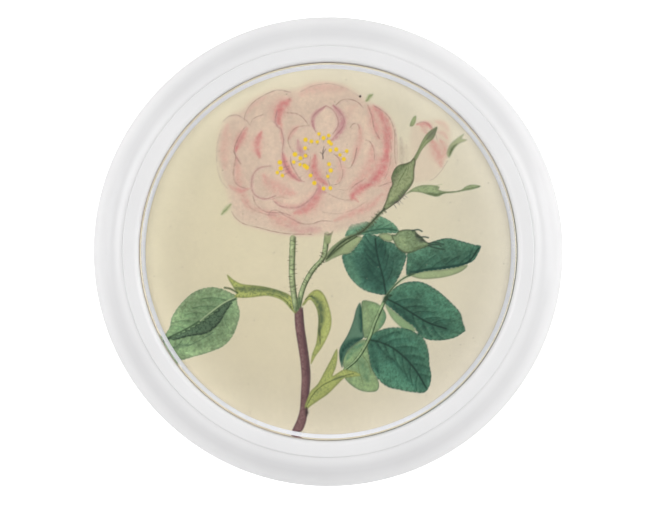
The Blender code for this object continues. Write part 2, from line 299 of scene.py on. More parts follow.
def between(tree, value, first, second):
    """A colour that goes from first to second as the value goes from 0 to 1."""
    mix = add_node(tree, "ShaderNodeMix", data_type="RGBA")
    tree.links.new(value, mix.inputs["Factor"])
    mix.inputs[6].default_value = (*first, 1.0)
    mix.inputs[7].default_value = (*second, 1.0)
    return mix.outputs[2]


def within_ring(tree, inner, outer, soft):
    """1 between two distances from the axis and 0 elsewhere, with soft edges."""
    flat = add_node(tree, "ShaderNodeVectorMath", operation="MULTIPLY")
    flat.inputs[1].default_value = (1.0, 1.0, 0.0)
    reach = add_node(tree, "ShaderNodeVectorMath", operation="LENGTH")
    in_object_space(tree, flat.inputs[0])
    tree.links.new(flat.outputs["Vector"], reach.inputs[0])
    rise = spread(tree, reach.outputs["Value"], 0.0, 1.0, inner - soft, inner + soft)
    fall = spread(tree, reach.outputs["Value"], 1.0, 0.0, outer - soft, outer + soft)
    both = add_node(tree, "ShaderNodeMath", operation="MULTIPLY")
    tree.links.new(rise, both.inputs[0])
    tree.links.new(fall, both.inputs[1])
    return both.outputs[0]


def add_bump(tree, shader, value, depth, strength):
    """Relief of that depth in metres, where the value is high."""
    bump = add_node(tree, "ShaderNodeBump", Strength=strength, Distance=depth)
    tree.links.new(value, bump.inputs["Height"])
    tree.links.new(bump.outputs["Normal"], shader.inputs["Normal"])


def opal_material(name="opal", shade_ring=None):
    """Milk-white moulded shell that lets some light through: glossy, faintly mottled and scuffed.

    The second argument is the (inner, outer) radius between which a grey ring of painted shade is laid on the
    shell.
    """
    made, tree, shader = new_material(
        name,
        IOR=1.48,
        Subsurface_Weight=0.15,
        Subsurface_Scale=0.004,
        Subsurface_Radius=(1.0, 0.95, 0.95),
        Coat_Weight=0.12,
        Coat_Roughness=0.12,
    )
    cloud = spread(tree, noise_of(tree, 55.0, 3.0), 0.0, 1.0)
    colour = between(tree, cloud, (0.845, 0.843, 0.847), (0.872, 0.870, 0.872))
    if shade_ring:
        # Painted shade: the shell's colour is made greyer in that ring, to stand for the darker band of the
        # shoulder.
        band_shade = between(tree, within_ring(tree, *shade_ring, 0.001), (1.0, 1.0, 1.0), (0.885, 0.885, 0.888))
        tint = add_node(tree, "ShaderNodeMix", data_type="RGBA", blend_type="MULTIPLY")
        tint.inputs["Factor"].default_value = 1.0
        tree.links.new(colour, tint.inputs[6])
        tree.links.new(band_shade, tint.inputs[7])
        colour = tint.outputs[2]
    tree.links.new(colour, shader.inputs["Base Color"])
    hair = noise_of(tree, 700.0, 2.0, (1.0, 0.05, 0.3), 0.7)
    tree.links.new(spread(tree, hair, 0.30, 0.42, 0.58, 0.74), shader.inputs["Roughness"])
    add_bump(tree, shader, noise_of(tree, 420.0, 3.0), 0.00003, 0.2)
    light_through(tree, shader, (0.34, 0.34, 0.34))
    return made


def light_through(tree, shader, tint):
    """Lets that share of the light from a lamp pass, which a milky or clear piece does."""
    path = add_node(tree, "ShaderNodeLightPath")
    clear = add_node(tree, "ShaderNodeBsdfTransparent", Color=(*tint, 1.0))
    mix = add_node(tree, "ShaderNodeMixShader")
    tree.links.new(path.outputs["Is Shadow Ray"], mix.inputs["Fac"])
    tree.links.new(shader.outputs["BSDF"], mix.inputs[1])
    tree.links.new(clear.outputs["BSDF"], mix.inputs[2])
    tree.links.new(mix.outputs["Shader"], tree.nodes["Material Output"].inputs["Surface"])


def crystal_material():
    """Clear polished crystal that lets light through to the print."""
    made, tree, shader = new_material(
        "crystal", Base_Color=(0.995, 0.998, 1.0, 1.0), Roughness=0.0, IOR=1.49, Transmission_Weight=1.0
    )
    add_bump(tree, shader, noise_of(tree, 30.0, 1.0), 0.00002, 0.05)
    light_through(tree, shader, (1.0, 1.0, 1.0))
    return made


def paper_material():
    """Wove paper that carries the painting, which is stored on the mesh's points."""
    made, tree, shader = new_material("painted_paper", Roughness=0.78, IOR=1.45, Specular_IOR_Level=0.3)
    painted = add_node(tree, "ShaderNodeAttribute", attribute_name="Painting")
    fibre = spread(tree, noise_of(tree, 2600.0, 5.0, roughness=0.65), 0.965, 1.02)
    tint = add_node(tree, "ShaderNodeVectorMath", operation="SCALE")
    tree.links.new(painted.outputs["Color"], tint.inputs[0])
    tree.links.new(fibre, tint.inputs["Scale"])
    tree.links.new(tint.outputs["Vector"], shader.inputs["Base Color"])
    add_bump(tree, shader, noise_of(tree, 2200.0, 4.0), 0.00003, 0.4)
    return made


def card_material():
    """White mount card that glows a little as painted light, with a ring of painted shade round its rim.

    The ring is brown, and darker towards the lower right.
    """
    made, tree, shader = new_material("mount_card", Roughness=0.7, Emission_Color=(0.93, 0.95, 1.0, 1.0))
    fleck = spread(tree, noise_of(tree, 1500.0, 4.0), 0.0, 1.0)
    white = between(tree, fleck, (0.88, 0.89, 0.93), (0.93, 0.94, 0.97))
    # Painted shade and painted refraction: a dark ring round the card's rim stands for the shaded crevice and
    # the print seen through the crystal's edge.
    rim_shade = within_ring(tree, RIM_SHADE_START, 2 * RIM_SHADE_START, RIM_SHADE_SOFT)
    lower_right = add_node(tree, "ShaderNodeVectorMath", operation="DOT_PRODUCT")
    lower_right.inputs[1].default_value = (0.8, -0.6, 0.0)
    in_object_space(tree, lower_right.inputs[0])
    thick = spread(tree, lower_right.outputs["Value"], 0.0, 1.0, 15.0 * MM, 42.0 * MM)
    mix = add_node(tree, "ShaderNodeMix", data_type="RGBA")
    tree.links.new(rim_shade, mix.inputs["Factor"])
    tree.links.new(white, mix.inputs[6])
    tree.links.new(between(tree, thick, (0.52, 0.40, 0.30), (0.12, 0.13, 0.08)), mix.inputs[7])
    tree.links.new(mix.outputs[2], shader.inputs["Base Color"])
    # Painted light: the card glows a little inside its ring of painted shade.
    tree.links.new(spread(tree, rim_shade, 0.12, 0.0, 0.0, 1.0), shader.inputs["Emission Strength"])
    add_bump(tree, shader, noise_of(tree, 1800.0, 4.0), 0.00004, 0.5)
    return made


def rubber_material(name, dark, light, roughness):
    """Soft frosted silicone."""
    made, tree, shader = new_material(name, IOR=1.42, Subsurface_Weight=0.2, Subsurface_Scale=0.002)
    cloud = spread(tree, noise_of(tree, 300.0, 3.0), 0.0, 1.0)
    tree.links.new(between(tree, cloud, dark, light), shader.inputs["Base Color"])
    matte = spread(tree, noise_of(tree, 900.0, 3.0), roughness - 0.06, roughness + 0.08)
    tree.links.new(matte, shader.inputs["Roughness"])
    add_bump(tree, shader, noise_of(tree, 2500.0, 3.0), 0.00003, 0.4)
    return made


def powder_material():
    """Fine face powder, with soft clumps and grains."""
    made, tree, shader = new_material(
        "face_powder", Roughness=0.95, Specular_IOR_Level=0.15, Sheen_Weight=0.25, Sheen_Roughness=0.6
    )
    clump = spread(tree, noise_of(tree, 420.0, 8.0, roughness=0.7), 0.0, 1.0, 0.3, 0.7)
    tree.links.new(between(tree, clump, (0.80, 0.60, 0.49), (0.90, 0.74, 0.64)), shader.inputs["Base Color"])
    add_bump(tree, shader, noise_of(tree, 3000.0, 8.0, roughness=0.75), 0.0003, 0.9)
    return made


def plush_material(name, dark, light):
    """Dense short pile, mottled light and dark; the dark is painted shade between the tufts."""
    made, tree, shader = new_material(
        name, Roughness=0.92, Specular_IOR_Level=0.2, Sheen_Weight=0.7, Sheen_Roughness=0.45
    )
    # Painted shade: the darker colour stands for the shade between the tufts.
    tuft = spread(tree, noise_of(tree, 900.0, 6.0, roughness=0.7), 0.0, 1.0, 0.3, 0.7)
    tree.links.new(between(tree, tuft, dark, light), shader.inputs["Base Color"])
    add_bump(tree, shader, noise_of(tree, 1800.0, 6.0, roughness=0.7), 0.0006, 0.8)
    return made


def satin_material(name, dark, light):
    """Satin weave: fine crossed threads, with a soft lengthwise sheen."""
    made, tree, shader = new_material(name, Sheen_Weight=0.35, Sheen_Roughness=0.3, Anisotropic=0.45)
    warp = add_node(tree, "ShaderNodeTexWave", bands_direction="X", Scale=SATIN_THREADS)
    weft = add_node(tree, "ShaderNodeTexWave", bands_direction="Y", Scale=SATIN_THREADS * 0.4)
    both = add_node(tree, "ShaderNodeMath", operation="MULTIPLY")
    for wave in (warp, weft):
        wave.inputs["Distortion"].default_value = 1.2
        wave.inputs["Detail"].default_value = 2.0
    in_object_space(tree, warp.inputs["Vector"], weft.inputs["Vector"])
    tree.links.new(warp.outputs["Fac"], both.inputs[0])
    tree.links.new(weft.outputs["Fac"], both.inputs[1])
    cloud = spread(tree, noise_of(tree, 160.0, 3.0), 0.0, 1.0)
    tree.links.new(between(tree, cloud, dark, light), shader.inputs["Base Color"])
    tree.links.new(spread(tree, both.outputs[0], 0.24, 0.4, 0.0, 1.0), shader.inputs["Roughness"])
    add_bump(tree, shader, both.outputs[0], 0.00005, 0.5)
    return made


def thread_material():
    """Twisted sewing thread."""
    made, tree, shader = new_material("thread", Roughness=0.55, Sheen_Weight=0.3)
    twist = add_node(tree, "ShaderNodeTexWave", Scale=4000.0, Distortion=0.5)
    in_object_space(tree, twist.inputs["Vector"])
    strand = between(tree, twist.outputs["Fac"], (0.86, 0.70, 0.64), (0.95, 0.83, 0.77))
    tree.links.new(strand, shader.inputs["Base Color"])
    return made


def foam_material():
    """Open-cell foam."""
    made, tree, shader = new_material("foam", Roughness=0.9)
    cell = add_node(tree, "ShaderNodeTexVoronoi", Scale=1600.0)
    in_object_space(tree, cell.inputs["Vector"])
    shade = spread(tree, cell.outputs["Distance"], 0.0, 1.0, 0.0, 0.6)
    tree.links.new(between(tree, shade, (0.88, 0.85, 0.76), (0.70, 0.67, 0.58)), shader.inputs["Base Color"])
    add_bump(tree, shader, cell.outputs["Distance"], 0.0003, 0.8)
    return made


# -------------------------------------------------------------------- painting

PAPER = (218, 208, 181)
INK = (92, 78, 76)
SOFT_INK = (134, 104, 98)
PETAL = (211, 187, 170)
PETAL_LIT = (226, 203, 182)
PINK = (207, 143, 137)
ROSE = (201, 116, 118)
MAUVE = (188, 132, 138)
POLLEN = (236, 200, 44)
LEAF = (71, 119, 95)
LEAF_LIGHT = (100, 146, 116)
LEAF_DARK = (32, 68, 58)
SAGE = (131, 158, 115)
SAGE_LIGHT = (156, 172, 128)
OLIVE = (150, 161, 116)
LIME = (171, 178, 102)
MOSS = (92, 106, 74)
STEM = (120, 86, 88)
STEM_DARK = (84, 58, 64)


def smooth_line(points, closed=False):
    """A Catmull-Rom curve through the points, as a dense polyline."""
    points = np.array(points, float)
    count = len(points)
    if closed:
        padded = np.vstack([points[-1:], points, points[:2]])
        spans = count
    else:
        padded = np.vstack([2 * points[0] - points[1], points, 2 * points[-1] - points[-2]])
        spans = count - 1
    share = np.linspace(0, 1, LINE_STEPS, endpoint=False)[:, None]
    found = []
    for span in range(spans):
        a, b, c, d = padded[span : span + 4]
        found.append(
            0.5
            * (
                2 * b
                + (c - a) * share
                + (2 * a - 5 * b + 4 * c - d) * share**2
                + (3 * b - a - 3 * c + d) * share**3
            )
        )
    if not closed:
        found.append(points[-1:])
    return np.vstack(found)


def lattice_noise(x, y, size, seed):
    """Smooth seeded noise from 0 to 1, with features about size apart."""
    table = np.random.default_rng(seed).random((97, 97))
    u, v = x / size, y / size
    across, up = np.floor(u).astype(int), np.floor(v).astype(int)
    u, v = u - across, v - up
    u, v = u * u * (3 - 2 * u), v * v * (3 - 2 * v)
    low = table[across % 97, up % 97] * (1 - u) + table[(across + 1) % 97, up % 97] * u
    high = table[across % 97, (up + 1) % 97] * (1 - u) + table[(across + 1) % 97, (up + 1) % 97] * u
    return low * (1 - v) + high * v


class Painting:
    """Watercolour and pen on paper, held as one colour for each point of the print."""

    def __init__(self, x, y):
        self.x = x
        self.y = y
        self.colour = np.tile(np.array(PAPER, float), (len(x), 1))
        self.wide = lattice_noise(x, y, 9.0, 1) * 0.6 + lattice_noise(x, y, 3.1, 2) * 0.4
        self.grain = lattice_noise(x, y, 0.75, 3) * 0.5 + lattice_noise(x, y, 0.3, 4) * 0.5

    def near(self, line, margin):
        """The points in the line's box, grown by the margin."""
        low, high = line.min(0) - margin, line.max(0) + margin
        inside = (self.x > low[0]) & (self.x < high[0]) & (self.y > low[1]) & (self.y < high[1])
        return np.flatnonzero(inside)

    def distance(self, at, line):
        """Each point's distance from the line, and its place along the line from 0 to 1."""
        x, y = self.x[at], self.y[at]
        best = np.full(len(at), 1e9)
        along = np.zeros(len(at))
        steps = np.diff(line, axis=0)
        lengths = np.hypot(steps[:, 0], steps[:, 1])
        total = max(lengths.sum(), NOTHING)
        run = 0.0
        for start, step, length in zip(line, steps, lengths):
            if length < NOTHING:
                continue
            share = ((x - start[0]) * step[0] + (y - start[1]) * step[1]) / length**2
            share = np.clip(share, 0, 1)
            gap = np.hypot(x - start[0] - step[0] * share, y - start[1] - step[1] * share)
            closer = gap < best
            best[closer] = gap[closer]
            along[closer] = (run + share[closer] * length) / total
            run += length
        return best, along

    def inside(self, at, ring):
        """Which of the points are inside the closed ring, by counting crossings."""
        x, y = self.x[at], self.y[at]
        odd = np.zeros(len(at), bool)
        for (ax, ay), (bx, by) in zip(ring, np.roll(ring, -1, axis=0)):
            if ay == by:
                continue
            crosses = (ay > y) != (by > y)
            odd ^= crosses & (x < (bx - ax) * (y - ay) / (by - ay) + ax)
        return odd

    def lay(self, at, colour, cover):
        """Moves the points' colours towards a colour, by each one's cover."""
        self.colour[at] += (np.array(colour, float) - self.colour[at]) * cover[:, None]

    def wash(self, outline, colour, cover=0.96, soft=0.22, rim=0.12, mottle=0.10, straight=False):
        """Fills a smooth closed outline, with pigment gathered at its edge, and returns where it lies."""
        ring = np.array(outline, float) if straight else smooth_line(outline, closed=True)
        at = self.near(ring, soft * 2)
        gap, _ = self.distance(at, np.vstack([ring, ring[:1]]))
        depth = np.where(self.inside(at, ring), gap, -gap)
        held = np.clip((depth + soft) / (2 * soft), 0, 1)
        held = held * held * (3 - 2 * held)
        tone = 1 + mottle * 2 * (self.wide[at] - 0.5) + mottle * (self.grain[at] - 0.5)
        tone -= rim * np.exp(-((depth / 0.3) ** 2))
        self.lay(at, np.array(colour, float) * tone[:, None], held * cover)
        mask = np.zeros(len(self.x))
        mask[at] = held
        return mask

    def brush(self, points, colour, width, cover, within=None, taper=0.7):
        """A soft stroke, widest in its middle."""
        line = smooth_line(points)
        at = self.near(line, width * 1.6)
        gap, along = self.distance(at, line)
        half = width / 2 * (0.25 + 0.75 * np.sin(np.pi * np.clip(along, 0.02, 0.98)) ** taper)
        held = cover * np.exp(-((gap / half) ** 2)) * (0.35 + 1.3 * self.grain[at])
        if within is not None:
            held = held * within[at]
        self.lay(at, colour, np.clip(held, 0, 1))

    def pen(self, points, colour, width, cover, broken=0.5, within=None):
        """A thin line whose weight wanders, as an etched line's does."""
        line = smooth_line(points)
        at = self.near(line, width * 3)
        gap, _ = self.distance(at, line)
        weight = 1 - broken * lattice_noise(self.x[at] + 3.7, self.y[at] - 1.3, 0.55, 5)
        held = cover * np.clip(1.25 - gap / (width * 0.75), 0, 1) * weight
        if within is not None:
            held = held * within[at]
        self.lay(at, colour, np.clip(held, 0, 1))

    def strokes(self, within, rows):
        """Brush strokes that stay within one shape."""
        for line, colour, width, cover in rows:
            self.brush(line, colour, width, cover, within)

    def lines(self, rows):
        """Pen lines, each a row of what pen needs."""
        for row in rows:
            self.pen(*row)

    def engrave(self, mask, line, colour, cover):
        """Fine engraved lines that run off a midrib at a slant."""
        at = np.flatnonzero(mask > 0.02)
        gap, along = self.distance(at, smooth_line(line))
        length = np.linalg.norm(np.diff(np.array(line, float), axis=0), axis=1).sum()
        wave = (along * length - gap * 0.55 + 0.5 * self.wide[at]) / ENGRAVED_PITCH
        cut = np.clip(np.abs(np.mod(wave, 1.0) - 0.5) * 4 - 1.1, 0, 1)
        patch = lattice_noise(self.x[at], self.y[at], 1.6, 8)
        weight = np.clip((self.wide[at] * 0.6 + patch * 0.7 - 0.3) * 1.6, 0, 1)
        self.lay(at, colour, cover * mask[at] * cut * weight)

    def tube(self, points, half, colour, lit, shade):
        """A round stalk: an even band with a crisp edge, lit on its left and shaded on its right."""
        line = smooth_line(points)
        at = self.near(line, half * 2)
        gap, _ = self.distance(at, line)
        held = np.clip((half - gap) / 0.16 + 0.5, 0, 1)
        self.lay(at, colour, held)
        mask = np.zeros(len(self.x))
        mask[at] = held
        self.brush([(x - 0.25 * half, y) for x, y in points], lit, 1.1 * half, 0.6, mask, 0.05)
        self.brush([(x + 0.85 * half, y) for x, y in points], shade, 0.8 * half, 0.8, mask, 0.05)
        self.pen([(x + 0.98 * half, y) for x, y in points], shade, 0.2, 0.9, 0.5)
        self.pen([(x - 0.98 * half, y) for x, y in points], shade, 0.15, 0.7, 0.7)
        self.grind(mask, 0.25)

    def grind(self, mask, amount):
        """Granular pigment: coarse and fine speckle over an area."""
        at = np.flatnonzero(mask > 0.02)
        x, y = self.x[at], self.y[at]
        coarse = lattice_noise(x, y, 1.5, 9) - 0.5
        fine = lattice_noise(x, y, 0.55, 10) * 0.5 + lattice_noise(y, x, 0.33, 12) * 0.5 - 0.5
        self.colour[at] *= 1 + (mask[at] * amount * (0.55 * coarse + 1.3 * fine))[:, None]

    def dab(self, x, y, radius, colour, cover=0.95):
        """A small round spot."""
        centre = np.array([[x, y]])
        at = self.near(centre, radius * 2)
        gap = np.hypot(self.x[at] - x, self.y[at] - y)
        self.lay(at, colour, cover * np.clip((radius - gap) / 0.18 + 0.5, 0, 1))

    def hatch(self, mask, colour, cover, size=0.32):
        """Etched stipple over an area."""
        at = np.flatnonzero(mask > 0.02)
        x, y = self.x[at], self.y[at]
        specks = lattice_noise(x, y, size, 6) * 0.6 + lattice_noise(y, x, 0.2, 7) * 0.4
        self.lay(at, colour, cover * mask[at] * np.clip((specks - 0.5) * 4, 0, 1))


def toothed(outline, pitch=1.05, depth=0.24):
    """A smooth outline with the small saw teeth of a rose leaf."""
    ring = smooth_line(outline, closed=True)
    closed = np.vstack([ring, ring[:1]])
    run = np.concatenate([[0.0], np.cumsum(np.linalg.norm(np.diff(closed, axis=0), axis=1))])
    count = int(run[-1] / pitch) * 5
    places = np.linspace(0, run[-1], count, endpoint=False)
    even = np.column_stack([np.interp(places, run, closed[:, 0]), np.interp(places, run, closed[:, 1])])
    heading = np.roll(even, -1, axis=0) - np.roll(even, 1, axis=0)
    normal = np.column_stack([heading[:, 1], -heading[:, 0]]) / np.linalg.norm(heading, axis=1)[:, None]
    tooth = (np.arange(count) % 5) / 4.0 - 0.5
    return even + normal * (tooth * depth)[:, None]


def leaf(art, outline, midrib, colour, light, dark, veins, spread_angle, reach):
    """A leaflet: a wash, a darker middle, a lighter edge, and side veins that curve towards the tip."""
    mask = art.wash(toothed(outline), colour, soft=0.14, mottle=0.24, straight=True)
    vein = tuple(0.72 * part for part in dark)
    art.brush(midrib, dark, reach * 1.1, 0.42, mask)
    ring = smooth_line(outline, closed=True)
    art.brush(ring, light, 2.2, 0.35, mask, taper=0.0)
    art.hatch(mask, dark, 0.30)
    line = smooth_line(midrib)
    for index in range(1, veins + 1):
        place = int((len(line) - 2) * index / (veins + 1))
        start = line[place]
        heading = line[place + 1] - start
        heading = heading / np.linalg.norm(heading)
        for side in (-1, 1):
            tip = []
            for share in (0.0, 0.35, 0.7, 1.0):
                turn = math.radians(spread_angle * side * (1 - 0.35 * share))
                run = reach * share * (1 - 0.3 * index / veins)
                tip.append(
                    (
                        start[0] + run * (heading[0] * math.cos(turn) - heading[1] * math.sin(turn)),
                        start[1] + run * (heading[0] * math.sin(turn) + heading[1] * math.cos(turn)),
                    )
                )
            art.strokes(mask, [
                ([(x + 0.3, y + 0.45) for x, y in tip], light, 0.8, 0.2),
                ([(x - 0.1, y - 0.3) for x, y in tip], dark, 0.9, 0.28),
            ])
            art.pen(tip, vein, 0.22, 0.6, 0.8, mask)
    art.engrave(mask, midrib, dark, 0.22)
    art.grind(mask, 0.26)
    art.lines([
        (midrib, vein, 0.34, 1.0, 0.15),
        (ring, dark, 0.2, 0.75, 0.7),
    ])
    return mask


def hairs(art, points, length, spacing, colour, seed):
    """Short bristles on both sides of a stem."""
    line = smooth_line(points)
    dice = np.random.default_rng(seed)
    for start, end in zip(line, line[1:]):
        step = end - start
        run = np.linalg.norm(step)
        normal = np.array([-step[1], step[0]]) / max(run, NOTHING)
        for _ in range(max(1, int(run / spacing))):
            root = start + step * dice.random()
            side = dice.choice((-1, 1))
            tip = root + normal * side * (0.55 + length * dice.random()) + step / run * 0.2 * dice.random()
            art.pen([root, (root + tip) / 2, tip], colour, 0.11, 0.7, 0.1)


def paint_bloom(art):
    """The open rose: one pale wash, petals in soft strokes, etched outlines and a ring of stamens."""
    bloom = [
        (-4, 40), (0, 40.2), (4, 39.4), (7, 37.4), (10, 35.2), (13, 33.6), (15.2, 30.6), (16.2, 26.5),
        (16.6, 22), (15.8, 17), (14.2, 12.4), (11.5, 8.2), (6, 6), (1, 4.4), (-4, 3.9), (-10, 4.1),
        (-16, 5.4), (-21, 7), (-22.9, 10), (-23.8, 14), (-25.4, 18.5), (-26.2, 24), (-25.4, 29),
        (-23.2, 32.2), (-20.4, 33.6), (-17.5, 36.2), (-13, 38.2), (-8, 38.4),
    ]
    mask = art.wash(bloom, PETAL, cover=0.86, soft=1.1, rim=0.0, mottle=0.035)
    bloom_petals(art, mask)
    bloom_folds(art, mask)
    bloom_outlines(art)
    bloom_stamens(art)


def bloom_petals(art, mask):
    """The petals' broad light and shade. Each stroke is a line, a width and a cover."""
    petals = [
        ([(-6.5, 37.3), (-4, 38.6), (0, 39.3), (4, 38.6)], 2.6, 0.25),
        ([(-24.6, 20), (-24.9, 25), (-24, 30)], 2.4, 0.3),
        ([(-23.6, 15.8), (-22.4, 14.9), (-20.6, 14.5), (-18.6, 15)], 0.9, 0.5),
        ([(-19.4, 33), (-17.8, 35), (-15, 36.8)], 1.6, 0.22),
        ([(-21.8, 22.5), (-21.6, 19.5), (-21.2, 16.5), (-20.4, 13.6), (-18.8, 11.4)], 1.8, 0.42),
        ([(-20.6, 12.4), (-18.6, 10.4), (-15.6, 9.6), (-12.6, 9.3)], 1.2, 0.35),
        ([(-14.2, 9), (-12, 7.9), (-9.4, 7.2), (-7, 6.7)], 2.8, 0.5),
        ([(-8.5, 5.2), (-5.5, 4.7), (-2, 5)], 2.0, 0.25),
        ([(-15.4, 18), (-13.8, 16.2), (-11.2, 14.6), (-8, 13.7)], 2.8, 0.5),
        ([(-13.2, 12.6), (-11.2, 11.2), (-8.4, 10.7), (-5.6, 11.4)], 1.1, 0.4),
        ([(7.4, 30), (7.7, 28), (7.2, 25.4), (6.4, 23), (5.8, 21)], 1.4, 0.45),
        ([(10.4, 25), (10.2, 22), (9.2, 19.2), (7.4, 17), (5.4, 15.4)], 2.2, 0.42),
        ([(2.4, 22.4), (3, 20.2), (3.1, 18), (2.2, 16.6)], 1.7, 0.34),
        ([(-7, 29.9), (-8.7, 28.4), (-9.5, 26.5)], 1.1, 0.5),
        ([(1.6, 7.4), (4.4, 8.6), (7.4, 9.7), (10.2, 11), (12.8, 13.6)], 1.7, 0.5),
        ([(13, 12), (14.2, 15), (14.6, 18)], 1.8, 0.22),
        ([(-11.6, 31.8), (-11.2, 30.4), (-11.1, 28), (-10.9, 25.6)], 0.7, 0.45),
        ([(4.5, 31.5), (5.4, 33.8), (7, 35)], 1.6, 0.16),
        ([(9.7, 34.2), (10.5, 32), (11.1, 29.6), (11.9, 27)], 1.9, 0.6),
    ]
    lit = [
        ([(-1, 33.4), (-0.2, 31.4), (0.2, 29)], 4.2, 0.5),
        ([(4, 34.4), (8, 32), (9.2, 28), (9, 24)], 3.6, 0.45),
        ([(-17, 33), (-15, 30), (-14, 25), (-13.6, 22)], 4.0, 0.4),
        ([(-15.4, 18.6), (-12, 18.2), (-9, 16.4)], 2.6, 0.4),
        ([(-10.4, 12), (-7, 12.2), (-4.4, 13.6)], 2.0, 0.5),
        ([(0.4, 10.4), (5, 11), (9.4, 13.4)], 3.0, 0.45),
        ([(-8, 35.6), (-4, 36.6), (1, 37)], 3.2, 0.35),
        ([(-23.4, 28), (-24, 24), (-23.6, 20)], 2.0, 0.3),
        ([(4.6, 26.4), (5.2, 23.4), (4.6, 21)], 2.0, 0.4),
    ]
    for line, width, cover in lit:
        art.brush(line, PETAL_LIT, width, cover, mask)
    for line, width, cover in petals:
        art.brush(line, PINK, width * 1.25, cover * 0.85, mask)


def bloom_folds(art, mask):
    """The deep pink folds and the mauve shadows between the petals."""
    deep = [
        ([(-9.2, 36), (-11, 34.5), (-11.9, 32.4), (-11.7, 30.6)], 2.3, 0.72),
        ([(10.8, 34.6), (12.7, 32.8), (13.8, 29.6), (14.1, 26), (13.7, 22.6)], 2.3, 0.66),
        ([(14, 23.6), (13, 20.4), (11.8, 18), (9.6, 15.8)], 2.7, 0.78),
        ([(9.6, 15.9), (7.6, 15), (6.1, 13.8), (5.5, 12.5)], 1.7, 0.8),
        ([(-3.2, 22.8), (-3.4, 20), (-2.5, 17.8), (-0.4, 16)], 1.9, 0.66),
        ([(-2, 15.4), (-2.5, 13.4), (-3.8, 11.4), (-5.6, 10), (-7.8, 9.2)], 2.2, 0.62),
        ([(-10.7, 23), (-10.1, 20.6), (-8.9, 18.6), (-7, 17)], 1.5, 0.74),
        ([(-15.9, 28.4), (-16.7, 26.4), (-16.9, 24.4), (-16.3, 22.5)], 1.5, 0.72),
        ([(-19.4, 29.2), (-20.5, 27.4), (-21.5, 25.4), (-22, 24)], 1.6, 0.6),
        ([(5.6, 13), (6.4, 12.5), (7.2, 11.8)], 0.6, 0.5),
    ]
    for line, width, cover in deep:
        art.strokes(mask, [
            (line, PINK, width * 1.9, cover * 0.55),
            (line, ROSE, width * 0.9, cover * 0.72),
        ])
    art.hatch(mask, (186, 140, 132), 0.06, 0.45)
    art.grind(mask, 0.05)
    for line, width, cover in [
        ([(-0.9, 34.4), (-3, 32.8), (-3.7, 31), (-3.2, 29)], 1.1, 0.62),
        ([(1.3, 34.6), (2.7, 33), (3.4, 31), (3, 29), (1.8, 27.2), (0.6, 26.4)], 1.8, 0.72),
        ([(-7.2, 26.4), (-6.8, 24.6), (-6, 23.2), (-4.8, 22.4)], 1.5, 0.6),
        ([(-2.6, 16.2), (-2, 14.6), (-0.4, 14)], 1.1, 0.5),
        ([(-10, 6.2), (-6, 5), (-2, 5.6)], 1.9, 0.25),
    ]:
        art.brush(line, MAUVE, width, cover, mask)


